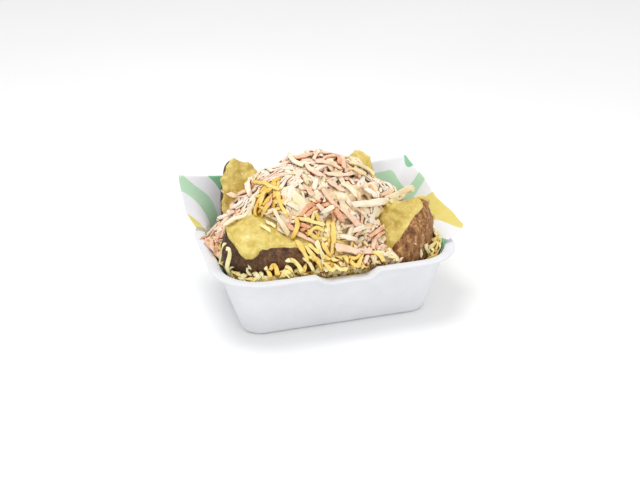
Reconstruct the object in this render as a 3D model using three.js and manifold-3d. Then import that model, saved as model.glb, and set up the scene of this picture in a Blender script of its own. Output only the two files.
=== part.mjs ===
// A baked potato as a takeaway serves it: cut in a cross and opened into four petals, heaped with
// coleslaw and grated cheese, on a sheet of greaseproof paper in a moulded pulp tray.
// Millimetres, +Z up. The origin is the middle of the tray's underside, X runs along the tray's
// long side and +Y points to its back.
import * as THREE from "three";
import { mergeVertices } from "three/addons/utils/BufferGeometryUtils.js";
import Module from "manifold-3d";

const wasm = await Module();
wasm.setup();

// ---- Driving dimensions ----

const TRAY = {
  length: 180,
  width: 127,
  height: 50,
  cornerRadius: 35,
  flange: 8.2, // width of the flat rim
  lip: 2.1, // thickness of the rim
  wall: 1.8,
  floor: 1.8,
  slope: 0.3, // how far the wall comes in for each millimetre down
  foot: { width: 5, bevel: 1.6, rise: 0.4, height: 2.4 }, // the rounded edge round the underside
  rimRound: 0.75, // rounding of the rim's outer edge
  shoulder: { width: 2, drop: 1.5 }, // rounding from the rim into the inner wall
};
const NOTCH = { depth: 4.8, topWidth: 43, bottomWidth: 32 }; // dip in the middle of each long rim
const PAPER = 0.6;
const PAPER_OVER_RIM = { side: 0.2, top: 0.9 }; // extra room where the sheet bends over the rim
const PAPER_FLARE = 1.25; // over 1: the free part of the sheet leans out more and more
const WALL_LIFT = 1.1; // an inset across the sloping wall for each millimetre square to it
const GAP = 0.35; // clear space between neighbouring pieces
const SKY = 150; // above all of the food

// Where the rim's corner arcs have a station exactly, in degrees: the paper's corners stand there.
const CORNER_ANCHORS = { backRight: 47, backLeft: 144, frontLeft: 225, frontRight: 315 };
const ARC_STEPS = 3; // steps on each side of an anchor
const LONG_SIDE_STOPS = [-46, -35, -NOTCH.topWidth / 2, -NOTCH.bottomWidth / 2, 0];
const SHORT_SIDE_STOPS = [-15, 0, 15];

// The paper's free edge where it stands above the rim, from the right front round the back to the
// left. Corners of the sheet are at the second, sixth and tenth points.
const PAPER_EDGE = [
  [84, -37, 52],
  [100.6, -27.5, 58.3],
  [99, -8, 61],
  [94, 12, 65.5],
  [92.5, 36, 73],
  [89.5, 66, 81.5],
  [56, 63, 79],
  [0, 62, 84],
  [-58, 62, 81],
  [-95, 58, 87],
  [-93, 47, 63],
  [-87.5, 37, 52.5],
].map((p) => new THREE.Vector3(...p));
const PAPER_LOW = 42; // height of the edge where it stays inside the tray

// The potato: a broad base and four petals. Each petal is a quarter of the potato with a round
// skin side from edge a to edge b and two flat cut sides that meet at edge i.
const POTATO_BASE = { centre: [-2, 0, 26], radii: [68, 43, 24] };
const PETAL_ROUNDNESS = 0.7; // under 1: the skin side is fuller than an arc
const PETAL_TIP = 0.72; // size of the end sections
const PETALS = [
  {
    // Back left.
    a: [[-58, 4, 20], [-80, 18, 60], [-61, 40, 104]],
    i: [[-14, 4, 20], [-30, 16, 70], [-44, 39, 93]],
    b: [[-14, 42, 20], [-36, 60, 62], [-52, 49, 95]],
    bulge: 0.24,
  },
  {
    // Back right.
    a: [[58, 6, 20], [60, 28, 66], [43, 42, 98]],
    i: [[12, 4, 20], [18, 18, 72], [31, 38, 94]],
    b: [[12, 42, 20], [30, 60, 64], [40, 49, 95]],
    bulge: 0.24,
  },
  {
    // Front right.
    a: [[30, -40, 20], [36, -58, 54], [64, -33, 83]],
    i: [[12, -8, 20], [26, -12, 70], [47, -18, 79]],
    b: [[66, -4, 20], [86, -22, 56], [66, -28, 84]],
    bulge: 0.26,
  },
  {
    // Front left.
    a: [[-77, -33, 69], [-58, -49, 64], [-14, -46, 58]],
    i: [[-72, -18, 72], [-48, -8, 86], [-16, -22, 68]],
    b: [[-64, -14, 30], [-46, -28, 14], [-18, -28, 22]],
    bulge: 0.26,
  },
];

// The coleslaw heap: a mound on an uneven oval plan.
const MOUND = {
  centre: [-2, 3],
  left: 87,
  right: 74,
  front: 56,
  back: 56,
  foot: 34,
  rim: 47,
  peak: 113,
  roundness: 1.8, // over 1: the higher, the blunter the top
};
const STRIP_END = 0.62; // a shred's size at its ends
const STRIP_BOW = { bend: 0.45, dip: 1.4, rise: 1 }; // how far shreds bend sideways, dip and rise
const SLAW_STRIP = { width: 3.8, thickness: 2.4, shortest: 14, longest: 28 };
const SLAW_CHUNKS = [
  // Thick pieces of cabbage: place on the mound, direction in degrees, size.
  { at: [-28, 2], turn: 35, length: 30, width: 13, thickness: 6 },
  { at: [-4, -14], turn: -15, length: 25, width: 15, thickness: 6 },
  { at: [20, -20], turn: 20, length: 22, width: 12, thickness: 5 },
];
const CHEESE_STRIP = { width: 2.6, thickness: 2.4, shortest: 13, longest: 26 };
const SPILL = { centre: [-80, 5, 50], radii: [13, 18, 6] }; // slaw that hangs over the left rim
const CHEESE_LAYER = 4.5;

// Where the grated cheese lies: blankets over the mound inside a ball, and loose beds beside it that
// are the ball itself. The places are those for shreds, on the whole mound or on the bed.
const CHEESE_PATCHES = [
  {
    name: "cheese_front",
    blankets: [{ centre: [-10, -42, 66], radii: [28, 24, 24], places: 120, seed: 5 }],
    beds: [{ centre: [-26, -50, 49], radii: [46, 8, 6.5], places: 12, seed: 3 }],
  },
  {
    name: "cheese_top",
    blankets: [{ centre: [-42, -15, 92], radii: [14, 13, 14], places: 130, seed: 8 }],
    beds: [],
  },
  {
    name: "cheese_right",
    blankets: [],
    beds: [{ centre: [72, -36, 47], radii: [14, 11, 8], places: 5, seed: 9 }],
  },
  {
    name: "cheese_left",
    blankets: [],
    beds: [{ centre: [-78, -34, 47], radii: [8, 10, 8], places: 4, seed: 2 }],
  },
];
const GOLDEN_ANGLE = Math.PI * (3 - Math.sqrt(5)); // spreads points evenly round a middle

const COLOURS = {
  pulp: 0xe9e9ee,
  paper: 0xe4efe6,
  potato: 0xdcc66a,
  slaw: 0xf3dcc0,
  cheese: 0xf2d071,
};

// ---- Geometry helpers ----

// A closed surface through rings of equal length, with a fan over the first and the last ring.
function loft(rings) {
  const count = rings[0].length;
  const points = [centreOf(rings[0]), ...rings.flat(), centreOf(rings.at(-1))];
  const at = (ring, k) => 1 + ring * count + (k % count);
  const index = [];
  for (let k = 0; k < count; k++) {
    index.push(0, at(0, k + 1), at(0, k));
    index.push(points.length - 1, at(rings.length - 1, k), at(rings.length - 1, k + 1));
    for (let r = 0; r + 1 < rings.length; r++) {
      index.push(at(r, k), at(r, k + 1), at(r + 1, k + 1));
      index.push(at(r, k), at(r + 1, k + 1), at(r + 1, k));
    }
  }
  return new THREE.BufferGeometry().setFromPoints(points).setIndex(index);
}

// A three.js geometry as a solid, with its faces turned outwards.
function solid(geometry) {
  const bare = geometry.clone();
  bare.deleteAttribute("normal");
  bare.deleteAttribute("uv");
  const merged = mergeVertices(bare, 1e-4);
  const triVerts = new Uint32Array(merged.index.array);
  const vertProperties = new Float32Array(merged.attributes.position.array);
  const made = new wasm.Manifold(new wasm.Mesh({ numProp: 3, vertProperties, triVerts }));
  if (made.volume() > 0) return made;
  for (let k = 0; k < triVerts.length; k += 3) {
    [triVerts[k + 1], triVerts[k + 2]] = [triVerts[k + 2], triVerts[k + 1]];
  }
  return new wasm.Manifold(new wasm.Mesh({ numProp: 3, vertProperties, triVerts }));
}

function joined(solids) {
  return solids.reduce((all, one) => all.add(one));
}

function centreOf(points) {
  return points.reduce((sum, p) => sum.add(p), new THREE.Vector3()).divideScalar(points.length);
}

// The outer skin of the largest body: loose scraps go, and sealed hollows are filled.
function largest(body) {
  return body.decompose().reduce((best, one) => (one.volume() > best.volume() ? one : best));
}

function mesh(name, body, colour, roughness) {
  const { vertProperties, triVerts } = body.getMesh();
  const geometry = new THREE.BufferGeometry()
    .setAttribute("position", new THREE.BufferAttribute(new Float32Array(vertProperties), 3))
    .setIndex(new THREE.BufferAttribute(new Uint32Array(triVerts), 1));
  geometry.computeVertexNormals();
  const material = new THREE.MeshStandardMaterial({ color: colour, roughness, metalness: 0 });
  const made = new THREE.Mesh(geometry, material);
  made.name = name;
  return made;
}

function ellipsoid([x, y, z], [rx, ry, rz], grow = 0, across = 20, down = 12) {
  const ball = new THREE.SphereGeometry(1, across, down);
  ball.rotateX(Math.PI / 2);
  ball.scale(rx + grow, ry + grow, rz + grow);
  ball.translate(x, y, z);
  return solid(ball);
}

// Repeatable random numbers from 0 to 1.
function randomFrom(seed) {
  let state = seed;
  return () => {
    state = (state * 1664525 + 1013904223) % 4294967296;
    return state / 4294967296;
  };
}

// ---- Tray ----

// Points round the outer edge of the rim, anticlockwise from the right, each with its outward normal.
function rimStations() {
  const farX = TRAY.length / 2;
  const farY = TRAY.width / 2;
  const r = TRAY.cornerRadius;
  const stations = [];
  const arc = (cx, cy, anchor, quarter) => {
    const stops = [quarter * 90, anchor, quarter * 90 + 90];
    const degrees = [];
    for (const [from, to] of [stops.slice(0, 2), stops.slice(1)]) {
      for (let k = 0; k < ARC_STEPS; k++) degrees.push(from + ((to - from) * k) / ARC_STEPS);
    }
    for (const degree of [...degrees, stops[2]]) {
      const angle = THREE.MathUtils.degToRad(degree);
      const normal = new THREE.Vector2(Math.cos(angle), Math.sin(angle));
      stations.push({ x: cx + r * normal.x, y: cy + r * normal.y, nx: normal.x, ny: normal.y });
    }
  };
  const longStops = [...LONG_SIDE_STOPS, ...LONG_SIDE_STOPS.slice(0, -1).map((x) => -x).reverse()];
  arc(farX - r, farY - r, CORNER_ANCHORS.backRight, 0);
  for (const x of longStops) stations.push({ x: -x, y: farY, nx: 0, ny: 1 });
  arc(r - farX, farY - r, CORNER_ANCHORS.backLeft, 1);
  for (const y of SHORT_SIDE_STOPS) stations.push({ x: -farX, y: -y, nx: -1, ny: 0 });
  arc(r - farX, r - farY, CORNER_ANCHORS.frontLeft, 2);
  for (const x of longStops) stations.push({ x, y: -farY, nx: 0, ny: -1 });
  arc(farX - r, r - farY, CORNER_ANCHORS.frontRight, 3);
  for (const y of SHORT_SIDE_STOPS) stations.push({ x: farX, y, nx: 1, ny: 0 });
  return stations;
}

// How far the rim dips at a station.
function dip(station) {
  if (Math.abs(station.ny) < 0.999) return 0;
  const ramp = (NOTCH.topWidth - NOTCH.bottomWidth) / 2;
  const along = (NOTCH.topWidth / 2 - Math.abs(station.x)) / ramp;
  return NOTCH.depth * THREE.MathUtils.clamp(along, 0, 1);
}

// The point at a station that is inset by d from the rim's outer edge, at height z.
function inset(station, d, z, along = 0) {
  const x = station.x - station.nx * d - station.ny * along;
  const y = station.y - station.ny * d + station.nx * along;
  return new THREE.Vector3(x, y, z);
}

function innerWall(z) {
  return TRAY.flange + TRAY.slope * (TRAY.height - z);
}

function tray(stations) {
  const { height, lip, wall, flange, floor, foot, rimRound, shoulder } = TRAY;
  const outer = (z) => innerWall(z) - wall;
  const fixed = [
    [outer(0) + foot.width, 0],
    [outer(0) + foot.bevel, foot.rise],
    [outer(foot.height), foot.height],
  ];
  const rim = [
    [outer(height - lip), -lip],
    [rimRound, -lip],
    [0, -lip * 0.7],
    [0, -lip * 0.3],
    [rimRound, 0],
    [flange - shoulder.width, 0],
    [flange + shoulder.drop * TRAY.slope, -shoulder.drop],
  ];
  const inside = [
    [innerWall(5), 5],
    [innerWall(3) + 1.2, 2.7],
    [innerWall(2) + 4.5, floor],
  ];
  const ring = (profile) => stations.map((s) => inset(s, profile[0], profile[1]));
  const rimRing = ([d, below]) =>
    stations.map((s) => {
      const z = height - dip(s) + below;
      const onWall = d >= outer(height - lip);
      return inset(s, onWall ? d + TRAY.slope * dip(s) : d, z);
    });
  return solid(loft([...fixed.map(ring), ...rim.map(rimRing), ...inside.map(ring)]));
}

// ---- Liner ----

// The rim point nearest to a point outside the tray, as its bearing from the middle.
function bearing(point) {
  const coreX = TRAY.length / 2 - TRAY.cornerRadius;
  const coreY = TRAY.width / 2 - TRAY.cornerRadius;
  const cx = THREE.MathUtils.clamp(point.x, -coreX, coreX);
  const cy = THREE.MathUtils.clamp(point.y, -coreY, coreY);
  const away = new THREE.Vector2(point.x - cx, point.y - cy).setLength(TRAY.cornerRadius);
  return Math.atan2(cy + away.y, cx + away.x);
}

// The paper's free edge at a station, or null where the sheet stays inside the tray.
function paperEdge(station) {
  const here = bearing(station);
  for (let k = 0; k + 1 < PAPER_EDGE.length; k++) {
    const from = bearing(PAPER_EDGE[k]);
    const to = bearing(PAPER_EDGE[k + 1]);
    if (here >= from && here <= to) {
      return PAPER_EDGE[k].clone().lerp(PAPER_EDGE[k + 1], (here - from) / (to - from));
    }
  }
  return null;
}

// The inside of the tray's wall at a height, at a given distance from it.
function wallStop(z, lift) {
  return [innerWall(z) + lift * WALL_LIFT, z, 0];
}

// The sheet's route up the tray at a station, as insets, heights and shifts along the rim, at a
// given distance from the tray.
function sheetRoute(station, stations, lift) {
  const order = stations.indexOf(station);
  const beside = [-1, 1].map((k) => stations.at((order + k) % stations.length));
  const edge = paperEdge(station);
  const dipped = dip(station);
  const { side, top } = PAPER_OVER_RIM;
  const lip = [innerWall(TRAY.height - dipped) + side + lift, TRAY.height + top - dipped, 0];
  const stops = (...heights) => heights.map((z) => wallStop(z, lift));
  const floor = TRAY.floor + lift;
  const foot = [
    [innerWall(0) + 11, floor, 0],
    [innerWall(2) + 4 + lift, floor + 0.3, 0],
    [innerWall(7) + 0.6 + lift, 7 + lift, 0],
  ];
  if (!edge && beside.some(paperEdge)) return [...foot, ...stops(16, 34, 47.5, 49.8), lip];
  const low = PAPER_LOW - dipped;
  if (!edge) return [...foot, ...stops(low * 0.35, low * 0.6, low * 0.8, low * 0.9, low)];
  const dx = edge.x - station.x;
  const dy = edge.y - station.y;
  const d = -(dx * station.nx + dy * station.ny);
  const along = -dx * station.ny + dy * station.nx;
  const flare = (share) => {
    const out = share ** PAPER_FLARE;
    const z = lip[1] + (edge.z - lip[1]) * share;
    return [lip[0] + (d + lift - lip[0]) * out, z, along * share];
  };
  return [...foot, ...stops(16, 34 - dipped), lip, flare(0.5), flare(1)];
}

function liner(stations) {
  const face = (lift) => {
    const routes = stations.map((s) => sheetRoute(s, stations, lift));
    return routes[0].map((_, k) => stations.map((s, n) => inset(s, ...routes[n][k])));
  };
  return solid(loft([...face(GAP), ...face(GAP + PAPER).reverse()]));
}

// The space the food may fill: inside the sheet, and above the rim where the sheet stays low.
function foodSpace(stations) {
  const lift = GAP + PAPER + GAP;
  const routes = stations.map((s) => {
    const route = sheetRoute(s, stations, lift);
    if (paperEdge(s)) return [...route, [route.at(-1)[0], SKY, route.at(-1)[2]]];
    const nearPaper = [-2, -1, 1, 2].some((k) => {
      return paperEdge(stations.at((stations.indexOf(s) + k) % stations.length));
    });
    const reach = nearPaper ? [TRAY.flange - 1, TRAY.flange - 2] : [-1, -9];
    const top = TRAY.height - dip(s) + lift;
    const walls = [16, 34].map((z) => wallStop(z, lift));
    const over = [[TRAY.flange + 0.4 + lift, top, 0], [reach[0], top + 0.5, 0], [reach[1], top + 1, 0]];
    return [...route.slice(0, 3), ...walls, ...over, [reach[1], SKY, 0]];
  });
  const rings = routes[0].map((_, k) => stations.map((s, n) => inset(s, ...routes[n][k])));
  return solid(loft(rings));
}

// ---- Potato ----

// A quarter of the potato: sections along its three edges, each a wedge with a round back.
function petal({ a, i, b, bulge }, grow) {
  const edge = (points) => new THREE.QuadraticBezierCurve3(...points.map((p) => new THREE.Vector3(...p)));
  const curves = { a: edge(a), i: edge(i), b: edge(b) };
  const steps = 7;
  const rings = [];
  for (let k = 0; k <= steps; k++) {
    const t = k / steps;
    const corner = curves.i.getPoint(t);
    const left = curves.a.getPoint(t);
    const right = curves.b.getPoint(t);
    const chord = right.clone().sub(left);
    const inward = corner.clone().sub(left);
    inward.addScaledVector(chord, -inward.dot(chord) / chord.lengthSq());
    const outward = inward.normalize().negate();
    const ring = [];
    const cutSteps = 3;
    const skinSteps = 7;
    for (let n = 0; n < cutSteps; n++) ring.push(corner.clone().lerp(left, n / cutSteps));
    for (let n = 0; n < skinSteps; n++) {
      const s = n / skinSteps;
      const out = bulge * chord.length() * (4 * s * (1 - s)) ** PETAL_ROUNDNESS;
      ring.push(left.clone().lerp(right, s).addScaledVector(outward, out));
    }
    for (let n = 0; n < cutSteps; n++) ring.push(right.clone().lerp(corner, n / cutSteps));
    const middle = centreOf(ring);
    const shrink = k === steps || k === 0 ? PETAL_TIP : 1;
    for (const p of ring) {
      p.sub(middle).multiplyScalar(shrink);
      p.setLength(p.length() + 1.5 * grow).add(middle);
    }
    rings.push(ring);
  }
  const push = (ring, next) => {
    const out = centreOf(ring).sub(centreOf(next)).setLength(grow);
    for (const p of ring) p.add(out);
  };
  if (grow) {
    push(rings[0], rings[1]);
    push(rings.at(-1), rings.at(-2));
  }
  return solid(loft(rings));
}

function potato(grow = 0) {
  const base = ellipsoid(POTATO_BASE.centre, POTATO_BASE.radii, grow, 24, 12);
  return joined([base, ...PETALS.map((p) => petal(p, grow))]);
}

// ---- Heaps ----

// A surface that shreds lie on has a middle, a reach in each direction and a height over each point.
const moundSurface = {
  middle: MOUND.centre,
  reach(angle) {
    const x = Math.cos(angle) / (Math.cos(angle) > 0 ? MOUND.right : MOUND.left);
    const y = Math.sin(angle) / (Math.sin(angle) > 0 ? MOUND.back : MOUND.front);
    return 1 / Math.hypot(x, y);
  },
  height(x, y) {
    const dx = x - MOUND.centre[0];
    const dy = y - MOUND.centre[1];
    const share = Math.hypot(dx, dy) / this.reach(Math.atan2(dy, dx));
    const lumps = 2 * Math.sin(x * 0.21 + 1) * Math.cos(y * 0.24) + 1.4 * Math.sin(x * 0.37 - y * 0.31);
    return MOUND.rim + (MOUND.peak - MOUND.rim) * (1 - Math.min(share, 1.2) ** MOUND.roundness) + lumps;
  },
};

// The upper half of a ball as a surface.
function ballSurface({ centre, radii }) {
  return {
    middle: centre,
    reach: (angle) => 1 / Math.hypot(Math.cos(angle) / radii[0], Math.sin(angle) / radii[1]),
    height(x, y) {
      const share = Math.hypot((x - centre[0]) / radii[0], (y - centre[1]) / radii[1]);
      return centre[2] + radii[2] * Math.sqrt(Math.max(0, 1 - share ** 2));
    },
  };
}

function normalOf(surface, x, y) {
  const step = 1;
  const slopeX = (surface.height(x + step, y) - surface.height(x - step, y)) / (2 * step);
  const slopeY = (surface.height(x, y + step) - surface.height(x, y - step)) / (2 * step);
  return new THREE.Vector3(-slopeX, -slopeY, 1).normalize();
}

function mound(grow) {
  const around = 30;
  const shares = [1, 1, 0.9, 0.76, 0.6, 0.42, 0.22];
  const rings = shares.map((share, k) => {
    const ring = [];
    for (let n = 0; n < around; n++) {
      const angle = (n / around) * 2 * Math.PI;
      const reach = moundSurface.reach(angle) * share;
      const x = MOUND.centre[0] + Math.cos(angle) * reach;
      const y = MOUND.centre[1] + Math.sin(angle) * reach;
      const z = k === 0 ? MOUND.foot : moundSurface.height(x, y);
      const normal = normalOf(moundSurface, x, y);
      if (k < 2) normal.set(Math.cos(angle), Math.sin(angle), 0);
      ring.push(new THREE.Vector3(x, y, z).addScaledVector(normal, grow));
    }
    return ring;
  });
  if (grow) for (const p of rings[0]) p.z -= grow;
  return solid(loft(rings));
}

// A shred: a strip with a rectangular section that is narrower at its ends, along a curve.
function strip(points, up, width, thickness, segments = 3) {
  const curve = new THREE.QuadraticBezierCurve3(...points);
  const rings = [];
  for (let k = 0; k <= segments; k++) {
    const t = k / segments;
    const middle = curve.getPoint(t);
    const side = curve.getTangent(t).cross(up).normalize();
    const rise = side.clone().cross(curve.getTangent(t)).normalize();
    const size = k === 0 || k === segments ? STRIP_END : 1;
    const corner = (across, above) =>
      middle
        .clone()
        .addScaledVector(side, (across * width * size) / 2)
        .addScaledVector(rise, (above * thickness * size) / 2);
    rings.push([corner(-1, -1), corner(1, -1), corner(1, 1), corner(-1, 1)]);
  }
  return solid(loft(rings));
}

// A strip that lies on a surface, bowed over it and bent sideways by given amounts.
function stripOn(surface, { at: [x, y], turn, length, width, thickness, bend, layer, dips }) {
  const up = normalOf(surface, x, y);
  const middle = new THREE.Vector3(x, y, surface.height(x, y)).addScaledVector(up, layer);
  const heading = new THREE.Vector3(Math.cos(turn), Math.sin(turn), 0);
  heading.addScaledVector(up, -heading.dot(up)).normalize();
  const side = heading.clone().cross(up).multiplyScalar(bend);
  const end = (sign, dip) =>
    middle
      .clone()
      .add(side)
      .addScaledVector(heading, (sign * length) / 2)
      .addScaledVector(up, -dip);
  const points = [end(-1, dips[0]), middle.clone().addScaledVector(up, STRIP_BOW.rise), end(1, dips[1])];
  return strip(points, up, width, thickness);
}

// Shreds that lie every which way on a surface, evenly spread over the part of it that is allowed.
function shredsOn(surface, { places, seed, size, layer, allowed = () => true }) {
  const random = randomFrom(seed);
  const made = [];
  for (let n = 0; n < places; n++) {
    const angle = n * GOLDEN_ANGLE;
    const reach = surface.reach(angle) * Math.sqrt((n + 0.5) / places);
    const x = surface.middle[0] + Math.cos(angle) * reach;
    const y = surface.middle[1] + Math.sin(angle) * reach;
    if (!allowed(x, y, surface.height(x, y))) continue;
    const turn = random() * Math.PI;
    const length = size.shortest + (size.longest - size.shortest) * random();
    const bend = (random() - 0.5) * length * STRIP_BOW.bend;
    const dips = [0, 0].map(() => random() * (STRIP_BOW.dip + 1) - 1);
    made.push(stripOn(surface, { ...size, at: [x, y], turn, length, bend, layer, dips }));
  }
  return made;
}

const stations = rimStations();
const space = foodSpace(stations);
const potatoBody = largest(potato().intersect(space));
const potatoRoom = potato(GAP);

function slaw() {
  const size = SLAW_STRIP;
  const heap = joined([
    mound(0),
    ellipsoid(SPILL.centre, SPILL.radii, 0, 12, 8),
    ...SLAW_CHUNKS.map((chunk) =>
      stripOn(moundSurface, {
        ...chunk,
        turn: THREE.MathUtils.degToRad(chunk.turn),
        bend: 1,
        layer: 1.6,
        dips: [1, 1],
      }),
    ),
    ...shredsOn(moundSurface, { places: 84, seed: 11, size, layer: 1.9 }),
    ...shredsOn(ballSurface(SPILL), { places: 6, seed: 4, size, layer: 0.6 }),
  ]);
  return largest(heap.subtract(potatoRoom).intersect(space));
}

// A patch of grated cheese: blankets as thick as CHEESE_LAYER and loose beds, with shreds on top.
function cheese({ blankets, beds }) {
  const size = CHEESE_STRIP;
  const ball = ({ centre, radii }) => ellipsoid(centre, radii, 0, 14, 9);
  const parts = [];
  for (const blanket of blankets) {
    const { centre, radii, places, seed } = blanket;
    const allowed = (...point) => Math.hypot(...point.map((c, k) => (c - centre[k]) / radii[k])) < 0.95;
    parts.push(mound(CHEESE_LAYER).intersect(ball(blanket)));
    parts.push(...shredsOn(moundSurface, { places, seed, size, allowed, layer: CHEESE_LAYER }));
  }
  for (const bed of beds) {
    parts.push(ball(bed));
    parts.push(...shredsOn(ballSurface(bed), { places: bed.places, seed: bed.seed, size, layer: 0.5 }));
  }
  return joined(parts);
}

const slawBody = slaw();
const slawRoom = joined([mound(GAP), ellipsoid(SPILL.centre, SPILL.radii, GAP, 12, 8)]);

const group = new THREE.Group();
group.add(
  mesh("tray", tray(stations), COLOURS.pulp, 0.85),
  mesh("liner", liner(stations), COLOURS.paper, 0.6),
  mesh("potato", potatoBody, COLOURS.potato, 0.7),
  mesh("slaw", slawBody, COLOURS.slaw, 0.45),
);
for (const patch of CHEESE_PATCHES) {
  const body = cheese(patch).subtract(potatoRoom).subtract(slawRoom).subtract(slawBody).intersect(space);
  group.add(mesh(patch.name, largest(body), COLOURS.cheese, 0.5));
}
export default group;
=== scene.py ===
"""The looks of a loaded baked potato in its takeaway tray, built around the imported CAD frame.

Lengths are in millimetres until a mesh is made, where MM turns them into metres. The axes are the
frame's: X along the tray, +Y to its back, +Z up, and the origin under the middle of the tray.
Shreds that have a place of their own are given by points of a 640 x 480 image, and lie on whatever
the camera sees there.
"""
import math
import random

import bpy
import numpy as np
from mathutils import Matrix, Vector
from mathutils.bvhtree import BVHTree
from numpy.linalg import norm


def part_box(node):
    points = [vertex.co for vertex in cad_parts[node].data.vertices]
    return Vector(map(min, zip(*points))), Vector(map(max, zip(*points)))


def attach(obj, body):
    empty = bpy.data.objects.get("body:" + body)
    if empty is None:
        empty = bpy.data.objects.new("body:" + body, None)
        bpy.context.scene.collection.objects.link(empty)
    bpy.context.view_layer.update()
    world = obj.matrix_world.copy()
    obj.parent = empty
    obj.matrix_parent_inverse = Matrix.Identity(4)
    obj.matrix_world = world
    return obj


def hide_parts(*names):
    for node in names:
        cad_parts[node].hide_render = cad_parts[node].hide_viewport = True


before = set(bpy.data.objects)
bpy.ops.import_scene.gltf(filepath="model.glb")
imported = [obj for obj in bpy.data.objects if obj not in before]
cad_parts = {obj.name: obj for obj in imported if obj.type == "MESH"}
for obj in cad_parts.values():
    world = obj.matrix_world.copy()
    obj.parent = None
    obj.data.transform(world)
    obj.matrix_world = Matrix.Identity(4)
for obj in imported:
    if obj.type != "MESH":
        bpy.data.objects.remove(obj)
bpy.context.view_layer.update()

MM = 0.001

# ---- Sizes and places ----

TRAY_LENGTH, TRAY_WIDTH, TRAY_HEIGHT = (np.array(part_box("tray")[1]) - np.array(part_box("tray")[0])) / MM
CORNER_RADIUS = 35.0
FLANGE, LIP = 8.2, 2.1  # the flat rim's width, and its height at the outer edge
WALL, FLOOR = 1.8, 1.8
SLOPE = 0.3  # how far the wall comes in for each millimetre down
CORE = np.array([TRAY_LENGTH / 2, TRAY_WIDTH / 2]) - CORNER_RADIUS  # the corners' bends are round this
NOTCH_DEPTH, NOTCH_TOP, NOTCH_BOTTOM = 4.8, 43.0, 32.0  # how deep, and how long at its top and bottom
TRAY_BEND = 3.0  # radius of the bends in its profile
TRAY_UNEVEN = 0.15

PAPER = 0.3
PAPER_CLEARANCE = 0.7  # from the tray's inner face to the sheet
PAPER_START = 13.0  # the rows of the sheet start this far in from the foot of the wall
PAPER_BEND = 5.0  # radius of its bend from the floor to the wall
PAPER_LOW = 42.0  # height of the free edge where it stays inside the tray
PAPER_BRIM = 0.3  # and there the sheet goes on past that height by this share of a row
PAPER_OVER_RIM = 1.0  # where it stands up, it bends outwards this high over the rim
PAPER_CLIMB = 0.22  # over this turn round the tray, in radians, the edge climbs from there to the rim
PAPER_BOW = 1.25  # above 1, the sheet stands up first and flares out towards its edge
RIPPLE_SIZE, RIPPLE = 24, 2.4
RIPPLE_IN, RIPPLE_OUT = -2.5, 1.0  # how far a ripple may go either way
# The sheet's free edge above the rim, from the right front round the back to the left.
PAPER_EDGE = np.array([
    (84, -37, 52), (100.2, -27.5, 58.3), (99, -8, 61), (94, 12, 65.5), (92.5, 36, 73), (89.5, 65.6, 81.5),
    (56, 63, 79), (0, 62, 84), (-58, 62, 81), (-95, 58, 87), (-93, 47, 63), (-87.5, 37, 52.5),
], dtype=float)

POTATO_BASE = {"centre": (-2, 0, 26), "radii": (68, 43, 24)}
PETAL_ROUNDNESS = 0.7  # of the skin side across: lower is boxier
TIP_SIZE, TIP_SECTIONS = 0.15, 9  # how far a petal narrows at its ends, and over how many sections
FLESH_PROUD, SKIN_SUNK = 1.0, 0.4  # how far each lies off the plain form
FLESH_LUMPS = [(7, 41, 1.9), (2.6, 45, 0.6)]  # size across, seed and height
SKIN_WRINKLES = (5, 51, 0.5)  # the same
LIP_PLACE, LIP_WIDTH = 2.4, 2.2  # how far from the skin's edge the flesh swells, and how wide
SKIN_EDGE = [(9, 1.3), (4, 0.7)]  # the waves of the line between flesh and skin: size and reach
DEEP = 5.0  # well inside the skin
# Each petal is a quarter of the potato: a round skin side from edge a to edge b, and two flat cut
# sides that meet at edge i. Each edge runs from the base to the tip. Drips are how far the flesh
# hangs over the skin along edge a and along edge b, at shares of the way from the base to the tip:
# below 0 the skin shows on the cut side. Bulge is how round the skin side is, as a share of its
# width, and lip how far the flesh swells out at the skin's edge. Tone is 0 for dark skin and 1 for
# light, at the base and at the tip, and baked is how far painted shade darkens the petal's flesh.
PETALS = {
    "back_left": dict(
        a=[(-58, 4, 20), (-80, 18, 60), (-61, 40, 104)],
        i=[(-14, 4, 20), (-30, 16, 72), (-44, 39, 97)],
        b=[(-14, 42, 20), (-36, 60, 62), (-52, 49, 95)],
        drips=([(0, 0.0)], [(0, 1.0)]),
        bulge=0.24, lip=0.4, tone=(0.1, 0.1), baked=0.5,
    ),
    "back_right": dict(
        a=[(58, 6, 20), (60, 28, 66), (43, 42, 98)],
        i=[(12, 4, 20), (18, 18, 72), (31, 38, 94)],
        b=[(12, 42, 20), (30, 60, 64), (40, 49, 95)],
        drips=([(0, 1.0)], [(0, 0.6)]),
        bulge=0.24, lip=0.4, tone=(0.4, 0.4), baked=0.0,
    ),
    "front_right": dict(
        a=[(30, -40, 20), (36, -58, 54), (64, -33, 83)],
        i=[(12, -8, 20), (26, -12, 70), (47, -18, 79)],
        b=[(66, -4, 20), (86, -22, 56), (66, -28, 84)],
        drips=([(0, -15.0), (1, 1.5)], [(0, 1.8)]),
        bulge=0.26, lip=1.0, tone=(0.8, 1.0), baked=0.4,
    ),
    "front_left": dict(
        a=[(-84, -31, 67), (-58, -49, 66), (-14, -46, 62)],
        i=[(-79, -16, 70), (-48, -6, 92), (-16, -22, 72)],
        b=[(-70, -12, 30), (-46, -28, 14), (-18, -28, 22)],
        drips=(
            [(0, -40), (0.12, -10), (0.22, -1), (0.3, 3.5), (0.38, 3), (0.46, -0.5), (0.6, -2.5), (1, -3)],
            [(0, -40), (0.12, -8), (0.2, 1.0)],
        ),
        bulge=0.2, lip=2.2, tone=(0.0, 0.5), baked=0.1,
    ),
}

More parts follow.
